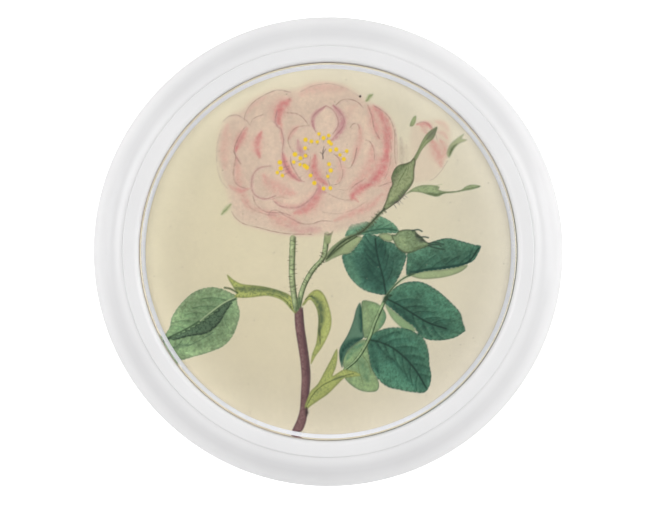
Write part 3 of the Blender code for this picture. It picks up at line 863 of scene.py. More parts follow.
def bloom_outlines(art):
    """Etched outlines: firm ones with a mauve shadow, and faint ones."""
    outlines = [
        [(-20, 31), (-19.6, 33), (-18, 35.3), (-15, 37.3), (-12, 38.4), (-9, 37.9)],
        [(-25, 31), (-23.5, 32.2), (-21.5, 32.4), (-19.3, 31), (-18.6, 30.1), (-17.8, 31.6), (-15.5, 32.6)],
        [(-12.1, 33.6), (-12.6, 31.2), (-12, 29.7), (-11.2, 29.2)],
        [(-11.2, 29), (-10.6, 26.5), (-10.9, 24), (-10.6, 21.5), (-9.4, 19), (-7.6, 17.2), (-5.6, 16.6)],
        [(-9.6, 26.3), (-8.9, 24.5), (-7.7, 23)],
        [(-9.6, 26.5), (-9, 28), (-8, 29.2), (-6.5, 29.8), (-4.5, 30)],
        [(-9.8, 33), (-7.6, 32.8), (-6, 31.8), (-4.9, 30.3)],
        [(-2.9, 28.4), (-3.7, 30), (-3.7, 32), (-2.2, 33.5), (-0.5, 34.7)],
        [(1.2, 34.8), (2.7, 33.2), (3.8, 31.4), (3.3, 29.4), (1.6, 27.5)],
        [(-0.4, 34.6), (1, 33.8), (2.2, 31.8), (2.3, 29.8), (1.1, 28)],
        [(1.8, 34.8), (3.2, 36), (5.2, 36.2), (7, 35.5), (8.3, 34.2)],
        [(5.2, 29.5), (6, 30.4), (7, 30.3), (7.4, 29.2)],
        [(9, 26.5), (10, 26), (10.9, 24), (11, 21.8)],
        [(3.8, 20), (5.2, 20), (6.2, 21.8), (6.8, 24.6)],
        [(1, 7.2), (-1.5, 7.3), (-4, 6.6), (-6.5, 6.7), (-8.7, 7.8), (-11, 9)],
        [(-22.6, 24), (-22, 22.5), (-22.4, 20), (-22.5, 17.5), (-21.5, 15.8), (-19.5, 15)],
        [(-20.8, 20.8), (-22, 22.8), (-22.3, 24.5), (-21.6, 26.5), (-20.3, 28.9), (-19.5, 29.8)],
        [(-13.6, 20.4), (-16.5, 19.8), (-18, 17.8), (-18.2, 15), (-17.2, 13.3), (-15, 12.5), (-12.4, 13.3)],
        [(-12.9, 12), (-11.5, 10.9), (-9.5, 10.4), (-7, 10.6), (-5, 11.8), (-3.4, 13.4), (-2.6, 15)],
        [(-18, 13.3), (-17, 11), (-14.5, 9.4), (-11, 9.2), (-9, 8.6)],
        [(-23, 9.5), (-22, 8), (-20, 6.6), (-16.5, 5.7), (-13, 4.8), (-9, 4.2), (-4, 4.1)],
        [(0.2, 13.7), (2, 12.8), (4, 12.3), (5.4, 12.4)],
        [(5, 14.3), (6.2, 15.7), (7.6, 16.6), (8.8, 17.4)],
        [(11, 34.6), (13.5, 33), (15, 31), (15.8, 28), (15.8, 24), (16, 21)],
        [(9.4, 34.8), (10.4, 32), (11, 29), (12.2, 26.8)],
        [(12, 15.5), (14, 16.2), (15.3, 16.6)],
        [(3.5, 19.5), (3.3, 17.6), (2.5, 16.2), (0.8, 15.8)],
        [(-14.2, 8.6), (-13.7, 9.6), (-12.6, 9.9), (-11, 9.2)],
        [(-6.4, 16.9), (-7.6, 18.6), (-8.8, 20.8), (-9, 22.6)],
        [(3.2, 19.9), (2.6, 22), (1.4, 23.2)],
    ]
    faint = [
        [(-24, 15), (-25.6, 17.2), (-26.4, 20.4), (-26.4, 25), (-25.4, 29)],
        [(-6.6, 38), (-3.6, 39.4), (0.6, 39.9), (4.6, 38.6), (7.6, 36.7)],
        [(15.9, 29), (16.4, 25.4), (16.3, 21.4), (15.6, 17.6), (14.4, 14.2), (13, 11.4)],
        [(14.6, 27.6), (15, 24), (14.6, 20.4), (13.4, 17.2)],
        [(-14.6, 30.6), (-13.4, 31), (-12.6, 30.4)],
        [(-7.2, 17.4), (-5.4, 18.6), (-4.4, 20.6), (-4.2, 22.6)],
        [(-16, 13), (-13.6, 12.4), (-11.6, 13), (-9.4, 12.6)],
        [(-20.4, 13.4), (-18.6, 10.6), (-15.4, 9), (-12.4, 8.6)],
        [(2.6, 14.8), (4.4, 14.6), (5.8, 15.4)],
        [(-1.4, 9.4), (2.4, 9), (6, 10), (9.4, 12.2)],
    ]
    for line in outlines:
        art.lines([
            (line, SOFT_INK, 0.17, 0.72, 0.85),
            ([(x + 0.3, y - 0.22) for x, y in line], MAUVE, 0.3, 0.16, 0.9),
        ])
    for line in faint:
        art.pen(line, SOFT_INK, 0.16, 0.36, 0.95)
    for line in outlines[2:4] + outlines[7:10] + outlines[17:19]:
        art.brush(line, MAUVE, 0.7, 0.3)


def bloom_stamens(art):
    """Yellow anthers on short bent threads round the middle."""
    stamens = [
        (-2.2, 28), (0.1, 27.6), (-1.1, 27), (-5.4, 26.6), (-4, 26.2), (-2.6, 26.1), (0.2, 26.1),
        (0.7, 25.6), (-5.5, 24.6), (0.5, 24.1), (1.9, 24.3), (4.4, 23.9), (-7.9, 23.1), (-5.4, 22.8),
        (2.8, 23), (-6.6, 22.2), (3.7, 22), (-8.2, 21.3), (-11.5, 21.2), (-6.7, 20.7), (-5.6, 20.4),
        (-5.1, 20), (0.2, 20.8), (0.6, 19.3), (-11.3, 19.8), (-12.1, 18.8), (-10.9, 18.1), (-4.2, 18.1),
        (-0.1, 17.9), (-3.3, 16.3), (-1.1, 15), (0.5, 15.1),
    ]
    middle = np.array((-1.6, 22.4))
    dice = np.random.default_rng(21)
    for x, y in stamens:
        tip = np.array((x, y), float)
        root = tip + (middle - tip) * (0.12 + 0.14 * dice.random())
        bend = (tip + root) / 2 + dice.normal(0, 0.12, 2)
        art.pen([tip, bend, root], INK, 0.12, 0.5, 0.5)
        art.dab(x + 0.1, y - 0.28, 0.28, (176, 150, 96), 0.5)
        art.dab(x, y, 0.40 + 0.16 * dice.random(), POLLEN)
    for tip in [(-1.3, 24.2), (-0.6, 24.4), (-1.9, 23.6), (-1, 25)]:
        art.pen([(-1.2, 22), (-1.3, 23), tip], INK, 0.15, 0.7, 0.3)


def paint_bud(art):
    """The petals of the half-open bud on the right."""
    bud = [
        (20, 29.6), (21.6, 30.8), (24, 31.1), (26.6, 31.4), (28.4, 30.2), (29.1, 28), (28.8, 25),
        (28, 22), (26.8, 19.4), (24.8, 17.3), (22.4, 16.5), (20.4, 17), (20, 21), (19.4, 25),
    ]
    mask = art.wash(bud, (216, 198, 178), cover=0.75, soft=0.9, rim=0.0, mottle=0.03)
    art.strokes(mask, [
        ([(24.6, 26.4), (25.6, 24.2), (26.6, 22.2), (27, 20.4)], PINK, 3.0, 0.52),
        ([(26.6, 26.6), (27.8, 24.6), (28.2, 22.2)], PINK, 1.6, 0.4),
        ([(21, 30.2), (22.6, 30.6), (24, 30), (24.6, 29)], ROSE, 1.2, 0.52),
        ([(22, 30), (22.8, 29.3), (23.4, 28.2)], PINK, 1.5, 0.4),
        ([(25.6, 31), (27.4, 30.4), (28.6, 28.8)], PINK, 1.4, 0.22),
        ([(26, 28.4), (27.4, 28), (28.4, 26.8)], PINK, 1.2, 0.25),
    ])
    art.lines([
        ([(21, 30.4), (22.6, 30.8), (24.2, 30), (25.2, 28.6), (26, 26.4)], SOFT_INK, 0.14, 0.4),
        ([(28.4, 21.6), (27, 19.4), (25.4, 17.6), (24.2, 16.9)], SOFT_INK, 0.13, 0.4),
    ])
    art.brush([(17.2, 27), (17.5, 24.6), (17.4, 22), (17.8, 20.4)], (176, 158, 142), 1.5, 0.45)
    art.brush([(18.6, 25.4), (18.6, 23), (18.8, 21.4)], (190, 170, 152), 1.2, 0.3)


def paint_bud_sepal(art):
    """The long sepal that lies over the bud."""
    sepal = [
        (20.1, 21.8), (21.2, 23.9), (22.3, 26.2), (23.3, 27.8), (24.5, 28.9), (25.9, 29.6), (25.5, 28),
        (24.9, 26.8), (23.4, 25.5), (22.1, 23.9), (20.9, 21.7),
    ]
    mask = art.wash(sepal, OLIVE, rim=0.25)
    art.brush([(23.6, 26.8), (24.8, 28.2), (25.8, 29.5)], (112, 112, 98), 1.6, 0.7, mask)
    art.pen([(20.5, 21.9), (21.9, 24.6), (23.6, 27), (25.8, 29.4)], MOSS, 0.2, 0.7)


def paint_bud_hip(art):
    """The swollen green base of the half-open bud."""
    hip = [
        (13, 9.9), (13.8, 12), (14.6, 14.5), (15.3, 16), (15.1, 17.6), (15.8, 19.5), (16.9, 20.5),
        (18.5, 20.9), (19.6, 21.4), (20.3, 22.1), (20.7, 21.3), (20.4, 19.5), (20.3, 17.2),
        (19.6, 15.6), (18.3, 14), (17, 12.4), (15.2, 11), (13.9, 10.1),
    ]
    mask = art.wash(hip, (150, 162, 118), rim=0.35)
    art.strokes(mask, [
        ([(15.4, 16.8), (16, 18.8), (17.2, 20.2), (19, 21)], MOSS, 2.0, 0.75),
        ([(14.2, 11.2), (16.4, 12.4), (18.2, 14.2), (19.9, 16.4)], MOSS, 1.3, 0.7),
        ([(15, 16.2), (15.8, 17), (16.4, 18.4)], (120, 122, 96), 1.5, 0.5),
    ])
    art.hatch(mask, (70, 78, 56), 0.28)
    art.lines([
        ([(16.5, 15.7), (17, 17), (18, 18.6), (18.6, 19.8)], MOSS, 0.2, 0.85),
        ([(18.7, 18.2), (19, 19.4), (19.1, 20.4)], MOSS, 0.15, 0.6),
        ([(15.8, 11.6), (16.6, 12), (17.4, 12.8), (18.2, 13.6)], (70, 62, 70), 0.34, 0.85, 0.7),
        (smooth_line(hip, True), (84, 80, 62), 0.2, 0.8, 0.4),
    ])
    hairs(art, [(15, 10.9), (17, 12.2), (18.6, 14)], 0.7, 0.25, (90, 84, 84), 12)


def paint_side_sepals(art):
    """The sepals that stand out from the bud."""
    right = [
        (20, 14.9), (22, 15.7), (24.6, 15.8), (26.4, 15.4), (26.2, 14.7), (28, 14.3), (31, 14.4),
        (33, 15.6), (34.6, 15.9), (36.2, 15.5), (34.4, 14.8), (32.6, 14.5), (30, 14), (27.6, 13.8),
        (26, 13.1), (24.2, 13.4), (22.2, 14), (20, 14.2), (18.4, 13.6),
    ]
    mask = art.wash(right, SAGE_LIGHT, rim=0.2)
    art.brush([(23.6, 13.8), (25.6, 13.4), (27.6, 14)], MOSS, 1.0, 0.55, mask)
    art.hatch(mask, MOSS, 0.4)
    art.lines([
        ([(24, 14), (25.6, 13.6), (28, 14), (31, 14.4), (33, 14.9), (35.8, 15.4)], MOSS, 0.22, 0.8, 0.6),
        ([(20, 14.8), (22.4, 15.6), (25, 15.6), (27, 16)], OLIVE, 0.18, 0.6),
    ])
    far = [
        (28.2, 23.4), (29, 25.4), (30.6, 26.9), (32.2, 27.9), (31.8, 26.9), (32.9, 26.5), (31.2, 25.7),
        (29.9, 24.5), (28.8, 22.4),
    ]
    mask = art.wash(far, (158, 166, 126), cover=0.85, soft=0.35, rim=0.15)
    art.brush([(28.8, 22.8), (29.4, 24.2), (30.6, 25.6)], MOSS, 0.9, 0.7, mask)
    tuft = art.wash([(19.4, 29.9), (19.8, 31.2), (20.4, 32.1), (20.9, 32.2), (20.8, 31), (20.2, 29.9)], OLIVE)
    art.brush([(19.8, 30.4), (20.7, 32)], SAGE_LIGHT, 0.8, 0.4, tuft)


def paint_bud_stalk(art):
    """The bristly stalk from the bud down to the branch."""
    stalk = [
        (13.4, 10.2), (12.2, 9), (11, 7.7), (9.8, 6.4), (8.4, 5), (6.6, 4), (4.2, 2.8), (2, 1.1),
        (0, -1.2),
    ]
    art.brush(stalk, MOSS, 0.95, 0.9, taper=0.2)
    art.pen(stalk, (52, 62, 48), 0.3, 0.9, 0.3)
    hairs(art, stalk[:6], 0.45, 0.4, (80, 80, 66), 13)


def paint_hip(art):
    """The small green hip, with its sepals, that lies over the leaves."""
    neck = [(12, 3.9), (13.4, 4.4), (15, 4), (15.5, 3), (14.6, 2.4), (13, 2.8)]
    art.wash(neck, SAGE_LIGHT, rim=0.25)
    body = [
        (15.1, 3.9), (16, 4), (17, 4.9), (18.6, 5.2), (20.4, 5), (21.2, 4.2), (22.2, 3.4), (23.2, 2.4),
        (24.2, 1.7), (22.9, 1), (21.6, 0.6), (20.5, 0.1), (19.3, -0.3), (18, -0.2), (16.7, 0.7),
        (15.7, 2.3),
    ]
    mask = art.wash(body, (134, 156, 114), rim=0.35)
    art.strokes(mask, [
        ([(20.8, 4.2), (21.8, 3.2), (23, 2.3)], (64, 70, 62), 1.5, 0.85),
        ([(20, 0.6), (21.6, 1), (23.2, 1.5)], MOSS, 0.9, 0.6),
        ([(16.4, 3.6), (18, 2), (19, 0.6)], SAGE_LIGHT, 2.0, 0.4),
    ])
    art.hatch(mask, (58, 74, 54), 0.26)
    art.grind(mask, 0.2)
    art.lines([
        ([(18, 3.5), (18.8, 3.3), (19.6, 3.4)], MOSS, 0.16, 0.7),
        (smooth_line(body, True), (70, 80, 58), 0.16, 0.7, 0.4),
    ])
    for tip in [
        [(20, 5), (21.4, 5.2), (22.3, 4.8)],
        [(21.6, 3.4), (22.8, 3.5), (23.8, 3.3)],
        [(23.8, 1.9), (25.4, 2.2), (27.4, 1.7)],
        [(23.8, 1.4), (25.8, 0.8), (27.6, 0.5)],
        [(24.2, 1.6), (26, 1.7), (26.8, 1.3)],
    ]:
        art.pen(tip, (48, 66, 56), 0.3, 0.9, 0.2)


def paint_leaves(art):
    """The dark leaflets of the compound leaf on the right."""
    tiny = [
        (4.2, 3.7), (4.8, 5.3), (5.4, 6.3), (7, 6.6), (9, 7.1), (10.2, 6.8), (11.2, 7.9), (12.3, 8.3),
        (14, 7.6), (15.6, 6.5), (16.6, 5.2), (16.4, 4.5), (13.6, 4.4), (10, 4.1), (7, 4),
    ]
    rib = [(7, 4.2), (10.4, 5), (13.6, 5.4), (16.2, 5)]
    leaf(art, tiny, rib, (98, 143, 114), (128, 164, 132), LEAF, 4, 40, 2.6)
    under = [
        (19.6, -5.5), (23, -4.6), (28, -4.2), (33, -3.2), (31.5, -4.8), (28, -6), (24, -6.5),
        (21.4, -6.4),
    ]
    art.wash(under, SAGE_LIGHT, rim=0.2)
    sliver = [
        (13.6, -12.7), (15.6, -14.2), (18, -16), (20, -17.6), (20.6, -19), (18, -18.4), (16, -16.8),
        (14.6, -15),
    ]
    art.wash(sliver, SAGE)

    round_leaf = [
        (8.8, 4.1), (10.6, 3.9), (12.2, 3.5), (13.4, 2.5), (15.4, 2), (16.5, 0.8), (17.8, 0),
        (18.5, -0.9), (18, -3), (17, -5.5), (15.6, -8), (14.2, -9.9), (12.8, -10.2), (10.8, -9.8),
        (8.4, -9), (6, -7), (4.3, -4.4), (3.4, -1), (5.1, -0.4), (6.7, 1.2), (7.9, 2.8),
    ]
    rib = [(13.7, -10.1), (13.1, -6.4), (12.2, -3), (11.5, 0), (11.2, 3)]
    mask = leaf(art, round_leaf, rib, (65, 110, 92), LEAF_LIGHT, LEAF_DARK, 5, 46, 6.5)
    art.strokes(mask, [
        ([(12, -9), (10.4, -5), (11.4, -1), (12.8, 1.6)], LEAF_DARK, 6.5, 0.5),
        ([(4.6, -1.6), (5.4, -4.4), (7.4, -7.2)], LEAF_LIGHT, 3.0, 0.5),
    ])

    upper = [
        (19, -0.1), (21, 0.3), (23, 1.2), (25.2, 2.4), (28.5, 3.1), (32, 2.3), (35, 1.5), (36.2, 1.3),
        (35.6, -0.3), (34.3, -2.2), (31, -3.5), (27, -4.2), (23, -4.6), (20.6, -5.2), (18.9, -5.8),
        (18.6, -4), (18.8, -2),
    ]
    rib = [(19.2, -5.4), (23, -4.3), (28, -3.7), (33, -2.6), (35.8, 0.8)]
    mask = leaf(art, upper, rib, (84, 132, 106), LEAF_LIGHT, LEAF_DARK, 5, 40, 6.0)
    art.brush([(19.6, -4.8), (24, -4.4), (29, -3.8), (33.6, -2.6)], LEAF_DARK, 1.1, 0.8, mask)

    middle = [
        (13.8, -10.6), (16, -8.6), (18.5, -7.4), (22, -7.3), (25.5, -9), (29, -12), (31.3, -14.6),
        (31.9, -16.8), (32.5, -18.6), (31.8, -19.3), (30, -20.4), (27, -21), (24, -20.9), (21.8, -19.9),
        (20.5, -18), (18.3, -16.2), (15.5, -13.9), (13.6, -12.2),
    ]
    rib = [(13.9, -11.2), (17, -12.8), (20.5, -15), (24, -17), (28, -18.3)]
    mask = leaf(art, middle, rib, LEAF, LEAF_LIGHT, LEAF_DARK, 5, 50, 6.5)
    art.brush([(14.6, -12.2), (17.6, -14.8), (20.6, -17.4)], LEAF_DARK, 1.8, 0.7, mask)

    lower = [
        (9, -21.3), (10, -19.8), (12, -18.9), (14.5, -18.2), (17.5, -18.2), (20.5, -19.2), (22.8, -21),
        (23.8, -24), (24, -27), (24.4, -29.5), (24, -31.9), (22.8, -33.4), (20.5, -33.4), (17, -32.8),
        (14, -32), (11.7, -30), (10.3, -27.5), (9.8, -25), (9.3, -23),
    ]
    rib = [(10, -21), (12.5, -21.6), (15.5, -23), (18.5, -25.5), (21, -28.5), (23.3, -32.4)]
    mask = leaf(art, lower, rib, (69, 117, 94), LEAF_LIGHT, LEAF_DARK, 6, 52, 6.8)
    art.brush([(10.2, -22), (10.8, -25), (11.8, -28.6)], LEAF_DARK, 2.0, 0.6, mask)


def paint_folded_leaflet(art):
    """The leaflet that is folded along its middle, pale in front and dark behind."""
    fold_back = [
        (8.2, -11.8), (9.3, -11.7), (11.6, -12.4), (13, -13.6), (13.7, -15.5), (12.8, -17.7),
        (11, -19.4), (9.6, -20.2), (8.6, -20.4), (8.1, -18), (7.9, -15), (8, -12.6),
    ]
    mask = art.wash(fold_back, (130, 157, 112), rim=0.15)
    art.strokes(mask, [
        ([(8.8, -13), (9.2, -16), (9.2, -19)], SAGE_LIGHT, 1.4, 0.4),
        ([(13.4, -13.4), (13.4, -15.6), (12.2, -18)], LEAF, 1.6, 0.4),
    ])
    art.hatch(mask, (66, 96, 72), 0.14)
    art.grind(mask, 0.16)
    art.pen(smooth_line(fold_back, True), (70, 98, 74), 0.2, 0.7, 0.6)
    fold_low = [
        (4, -28), (3.5, -25.8), (4.5, -23.8), (7, -21.6), (8.8, -21), (9.3, -22.4), (9.6, -24.6),
        (10.2, -27.5), (11.3, -29.6), (12, -31.5), (11.5, -33), (9.5, -33.3), (7.3, -32.8),
        (5.2, -31.4), (4.1, -30), (5.6, -29.4),
    ]
    mask = art.wash(fold_low, (134, 158, 112), rim=0.15)
    art.strokes(mask, [
        ([(6.8, -25), (8.4, -27.6), (9.4, -30.6)], (98, 132, 100), 3.0, 0.6),
        ([(4.4, -25.6), (6, -23.4), (8.4, -21.8)], LEAF, 1.6, 0.5),
    ])
    art.hatch(mask, (66, 96, 72), 0.14)
    art.grind(mask, 0.16)
    art.lines([
        ([(7.6, -24), (9.4, -26.4), (10.2, -29)], MOSS, 0.2, 0.7),
        ([(7, -26), (7.4, -28.6), (8.2, -31)], MOSS, 0.18, 0.6),
        (smooth_line(fold_low, True), (70, 98, 74), 0.2, 0.7, 0.6),
    ])
    fold_dark = [
        (7.6, -12.2), (8, -14.5), (8.2, -18.5), (8.4, -20.4), (6.6, -21.8), (4.6, -23.6), (3.6, -26),
        (3.3, -27.6), (2.7, -25.4), (2.8, -23), (4.6, -19.8), (5.9, -16.6), (6.7, -13.6),
    ]
    mask = art.wash(fold_dark, (86, 122, 100), rim=0.25)
    art.strokes(mask, [
        ([(3, -26), (3.4, -23.6), (5.4, -21.6), (8, -20.6)], LEAF_DARK, 1.6, 0.85),
        ([(7.6, -13), (7.8, -16), (7.8, -19)], LEAF_DARK, 1.2, 0.75),
    ])


def paint_leaf_stalk(art):
    """The compound leaf's stalk and its side branch."""
    rachis = [(13.8, -10.8), (12.5, -13.6), (11, -17), (9.9, -20.2), (8.4, -23.2), (6.4, -26), (4, -28)]
    art.tube(rachis, 0.4, SAGE, SAGE_LIGHT, (48, 66, 46))
    branch = [(14, -10.4), (15.2, -8.8), (17, -7), (19, -5.8), (20.4, -5.3)]
    art.brush(branch, SAGE, 0.7, 0.7, taper=0.1)
    art.pen(branch, (48, 66, 46), 0.24, 0.9, 0.2)
    art.brush([(13.2, -12), (13.9, -10.8), (15, -10.4)], (40, 62, 46), 1.1, 0.9)


def paint_pale_leaf(art):
    """The pale leaf on the left, with its dark fold."""
    pale = [
        (-21.9, -10.7), (-23.2, -9.9), (-25.5, -8.9), (-28.5, -8.6), (-32, -9.8), (-35, -12.5),
        (-37, -15.5), (-37.6, -18), (-39, -20.6), (-38.4, -22.6), (-37, -24.6), (-35.2, -25.7),
        (-32, -24.9), (-28.5, -23.9), (-25, -22.4), (-22.8, -20), (-21.6, -17), (-21.1, -14.5),
        (-21.7, -12.3),
    ]
    rib = [(-22, -10.9), (-25, -12.6), (-29, -15.4), (-33, -18), (-38.4, -20.7)]
    mask = leaf(art, pale, rib, SAGE, (160, 178, 138), (92, 122, 88), 5, 52, 7.0)
    under = [
        (-21.9, -11), (-24.6, -12.4), (-27, -14.4), (-30, -16.6), (-33, -18.4), (-36, -19.8),
        (-38.4, -20.7), (-36.4, -20.9), (-33, -20), (-29.6, -19.5), (-27.5, -18.4), (-25.7, -16.5),
        (-24.7, -14.7), (-23.4, -12.8),
    ]
    shade = art.wash(toothed(under, 1.3, 0.4), (84, 108, 84), cover=0.9, soft=0.14, rim=0.3, straight=True)
    art.hatch(shade, (40, 56, 44), 0.6)
    art.lines([
        (under[7:], (40, 54, 44), 0.3, 0.9, 0.5),
        ([(-22, -10.8), (-25, -12.3), (-28.4, -14.8), (-30.4, -16.4)], (178, 192, 152), 0.3, 0.8, 0.1),
    ])
    art.brush([(-37, -22.9), (-35, -22.4), (-32.8, -22.2)], (80, 104, 80), 1.0, 0.7, mask)
    art.lines([
        ([(-32.8, -22.2), (-30.4, -21), (-27.4, -19.2)], (80, 104, 80), 0.2, 0.8),
        ([(-24.8, -15), (-24.4, -17), (-23.6, -18.8)], (80, 104, 80), 0.18, 0.6),
    ])


def paint_stem(art):
    """The brown stem."""
    stem = [
        (-6.9, -12.6), (-7.9, -14), (-7.8, -18), (-7.2, -22), (-6.6, -26), (-6.3, -30), (-6.5, -34),
        (-6.7, -37.4), (-7.4, -40), (-8.6, -42.8), (-7.4, -43), (-6.1, -42.4), (-5.2, -40), (-4.9, -37),
        (-4.7, -34), (-4.4, -30), (-4.6, -26.5), (-5.2, -22), (-5.8, -18), (-6.1, -14),
    ]
    mask = art.wash(stem, STEM, rim=0.25, mottle=0.2)
    art.brush(
        [(-6.2, -14), (-5.6, -20), (-4.9, -26), (-4.6, -32), (-4.9, -38)], STEM_DARK, 1.1, 0.75, mask, 0.1
    )
    art.brush([(-7.4, -15), (-7, -20), (-6.2, -27), (-6, -33)], (146, 112, 110), 0.8, 0.5, mask, 0.1)
    art.brush([(-6.2, -37), (-6.6, -40), (-7.4, -42.4)], (142, 106, 106), 1.4, 0.5, mask)
    art.hatch(mask, STEM_DARK, 0.45)
    art.pen(
        [(-6.1, -13.4), (-5.7, -18), (-5.1, -22), (-4.5, -26.5), (-4.3, -30), (-4.6, -34)], (58, 42, 46),
        0.2, 0.8, 0.3,
    )


def paint_curl(art):
    """The curled stipule at the top of the stem."""
    curl = [
        (-6.2, -12.7), (-5.2, -11), (-4.2, -9.8), (-3, -9.1), (-1.9, -9.3), (-0.9, -10.4), (0, -12.5),
        (0.7, -15.5), (0.6, -18), (-0.3, -20.5), (-1.6, -22.9), (-2.9, -24.7), (-4.1, -26.7),
        (-3.8, -24.4), (-2.9, -22), (-2.5, -19), (-2.3, -16), (-2.8, -13.5), (-3.9, -11.7),
        (-4.8, -11.6), (-5.6, -12.6),
    ]
    mask = art.wash(curl, LIME, rim=0.2)
    art.strokes(mask, [
        ([(-4, -10.6), (-2.7, -11.6), (-1.8, -13.6), (-1.7, -16.4), (-2.1, -19)], MOSS, 1.5, 0.95),
        ([(-2.4, -15), (-2.1, -19), (-1.9, -22)], (70, 78, 56), 0.7, 0.7),
        ([(-1.4, -10.4), (-0.1, -14), (-0.1, -18), (-1.4, -21.6)], (192, 196, 126), 0.9, 0.4),
    ])
    art.hatch(mask, MOSS, 0.3)
    art.pen([(-5.4, -11.4), (-4.6, -10.7), (-3.8, -10.6)], (56, 62, 40), 0.22, 0.9)


def paint_stipules(art):
    """The long stipule on the left and the forked one at the lower leaf's foot."""
    wing = [
        (-24, -5.5), (-22.5, -6.7), (-20.5, -7.7), (-18, -8), (-15.5, -8.3), (-12.5, -9), (-10, -9.9),
        (-8.4, -11), (-7.4, -12.8), (-7.7, -14.7), (-9, -13.6), (-10.3, -12.1), (-12, -11.1),
        (-14.5, -10.5), (-17.5, -10.8), (-20, -11), (-22.2, -10.8), (-21.8, -9.8), (-22.6, -8.4),
        (-23.6, -6.8),
    ]
    mask = art.wash(wing, (167, 175, 99), rim=0.2)
    art.brush(
        [(-22.6, -8.8), (-19, -8.9), (-15.6, -8.9), (-12.4, -9.4), (-9.8, -10.6)], MOSS, 1.4, 0.72, mask, 0.3
    )
    art.hatch(mask, MOSS, 0.6)
    art.lines([
        ([(-14, -10), (-11.8, -10.6), (-10, -11.8), (-8.6, -13.6)], (70, 84, 44), 0.2, 0.8),
        ([(-24.6, -8.6), (-23.4, -8.8), (-22.4, -9.3), (-21.6, -9.8)], (70, 84, 50), 0.4, 0.9, 0.2),
    ])

    low = [
        (-5.6, -36.9), (-4.8, -34.5), (-4, -33), (-2.5, -31.5), (-1, -28.8), (0.5, -26), (2, -23.2),
        (2.2, -25), (1.8, -27.5), (1.1, -29.5), (2.8, -28.5), (4, -28), (5.4, -28.3), (6.8, -28.7),
        (7.6, -29.5), (5, -29.9), (3.8, -30.1), (2, -31.8), (0, -33.8), (-2, -35.2), (-4, -36.6),
        (-4.9, -37.3),
    ]
    mask = art.wash(low, (168, 176, 102), rim=0.2)
    art.hatch(mask, MOSS, 0.3)
    art.pen(
        [(-5, -36.4), (-3.6, -34), (-1.6, -32), (1, -30.6), (3.6, -29.6), (6, -29)], (84, 92, 50), 0.22, 0.8,
        0.4,
    )
    art.brush([(1, -30.6), (2.4, -30), (3.8, -29.6)], MOSS, 0.7, 0.6, mask)
    art.brush([(-5.2, -37), (-5.1, -38.2), (-5.2, -39.2)], (60, 48, 48), 0.8, 0.8)


def paint_pedicels(art):
    """The bract and the two green stalks above the stem, with their bristles."""
    bract = [
        (-0.6, -1.2), (0.5, 0.7), (2.5, 2.4), (4.3, 3.5), (6, 4), (7, 3.7), (8, 3.2), (6.6, 1.2),
        (5, -0.4), (3.2, -0.8), (1, -1.7), (-0.6, -2.5),
    ]
    mask = art.wash(bract, (150, 165, 122), rim=0.2)
    art.brush([(-0.2, -1.6), (1.6, 0), (3.6, 1.4)], MOSS, 1.2, 0.6, mask)
    art.pen([(-0.4, -1.8), (2, 0.4), (4.2, 2), (6.8, 3.6)], (52, 62, 40), 0.3, 0.9, 0.2)
    second = [(-7.1, -12.9), (-5.9, -8.4), (-3.7, -4.4), (-1.4, -1.8), (-0.7, 0.6), (-0.3, 4.2)]
    art.tube(second, 0.58, (138, 154, 112), (176, 188, 146), (72, 80, 58))
    cap = art.wash(
        [(-0.9, 4.4), (-0.2, 4.1), (0.6, 4.4), (1.2, 4.9), (0.7, 3.4), (0.4, 2), (-0.7, 2), (-0.8, 3.4)],
        OLIVE,
    )
    art.brush([(-0.8, 4.3), (0.2, 4.2), (1.1, 4.8)], (60, 58, 46), 0.7, 0.9, cap)
    first = [(-7.6, -13.6), (-8.2, -10), (-8.6, -6), (-8.6, -2), (-8.4, 3.3)]
    art.tube(first, 0.66, (142, 158, 114), (184, 194, 152), (78, 84, 62))
    hairs(art, first[1:], 0.75, 0.5, (70, 66, 50), 14)
    hairs(art, second[1:5], 0.5, 0.6, (70, 66, 50), 15)
    art.brush([(-7.6, -14), (-7.2, -12.6), (-6.8, -11)], (84, 104, 72), 1.5, 0.75)


def paint_details(art):
    """Stray sepals and the specks of an old print."""
    for line in ([(9.1, 35.8), (9.8, 36.8), (10.5, 37.3)], [(-25.3, 8.9), (-24.3, 10), (-23.2, 11.2)]):
        art.brush(line, OLIVE, 0.95, 0.85, taper=0.3)
        art.pen(line, MOSS, 0.13, 0.5)
    art.dab(7.6, 36.9, 0.27, (58, 44, 44))
    dice = np.random.default_rng(31)
    for _ in range(110):
        angle, reach = dice.random() * 2 * math.pi, 43 * math.sqrt(dice.random())
        shade = 120 + 50 * dice.random()
        place = (reach * math.cos(angle), reach * math.sin(angle))
        art.dab(*place, 0.05 + 0.09 * dice.random(), (shade, shade * 0.93, shade * 0.8), 0.55)


def paint_paper(art):
    """Wove paper: uneven cream, with painted light that makes it paler and bluer towards the rim and lighter
    towards the right, and painted shade that darkens it towards the bottom.
    """
    reach = np.hypot(art.x, art.y) / PRINT_SHOWN
    tone = 1 + 0.03 * (art.wide - 0.5) + 0.02 * (art.grain - 0.5)
    art.colour *= tone[:, None]
    # Painted light towards the rim and the right, and painted shade towards the bottom.
    art.colour += np.array((0.0, 2.0, 9.0)) * (reach[:, None] ** 4)
    art.colour += np.array((1.0, 2.0, 6.0)) * (art.x / PRINT_SHOWN)[:, None]
    art.colour -= np.array((7.0, 8.0, 7.0)) * np.clip(-art.y / PRINT_SHOWN, 0, 1)[:, None]


LAYERS = (  # from the lowest to the topmost
    paint_paper,
    paint_leaves,
    paint_folded_leaflet,
    paint_leaf_stalk,
    paint_pale_leaf,
    paint_hip,
    paint_stem,
    paint_curl,
    paint_stipules,
    paint_pedicels,
    paint_bloom,
    paint_bud,
    paint_bud_sepal,
    paint_bud_hip,
    paint_side_sepals,
    paint_bud_stalk,
    paint_details,
)


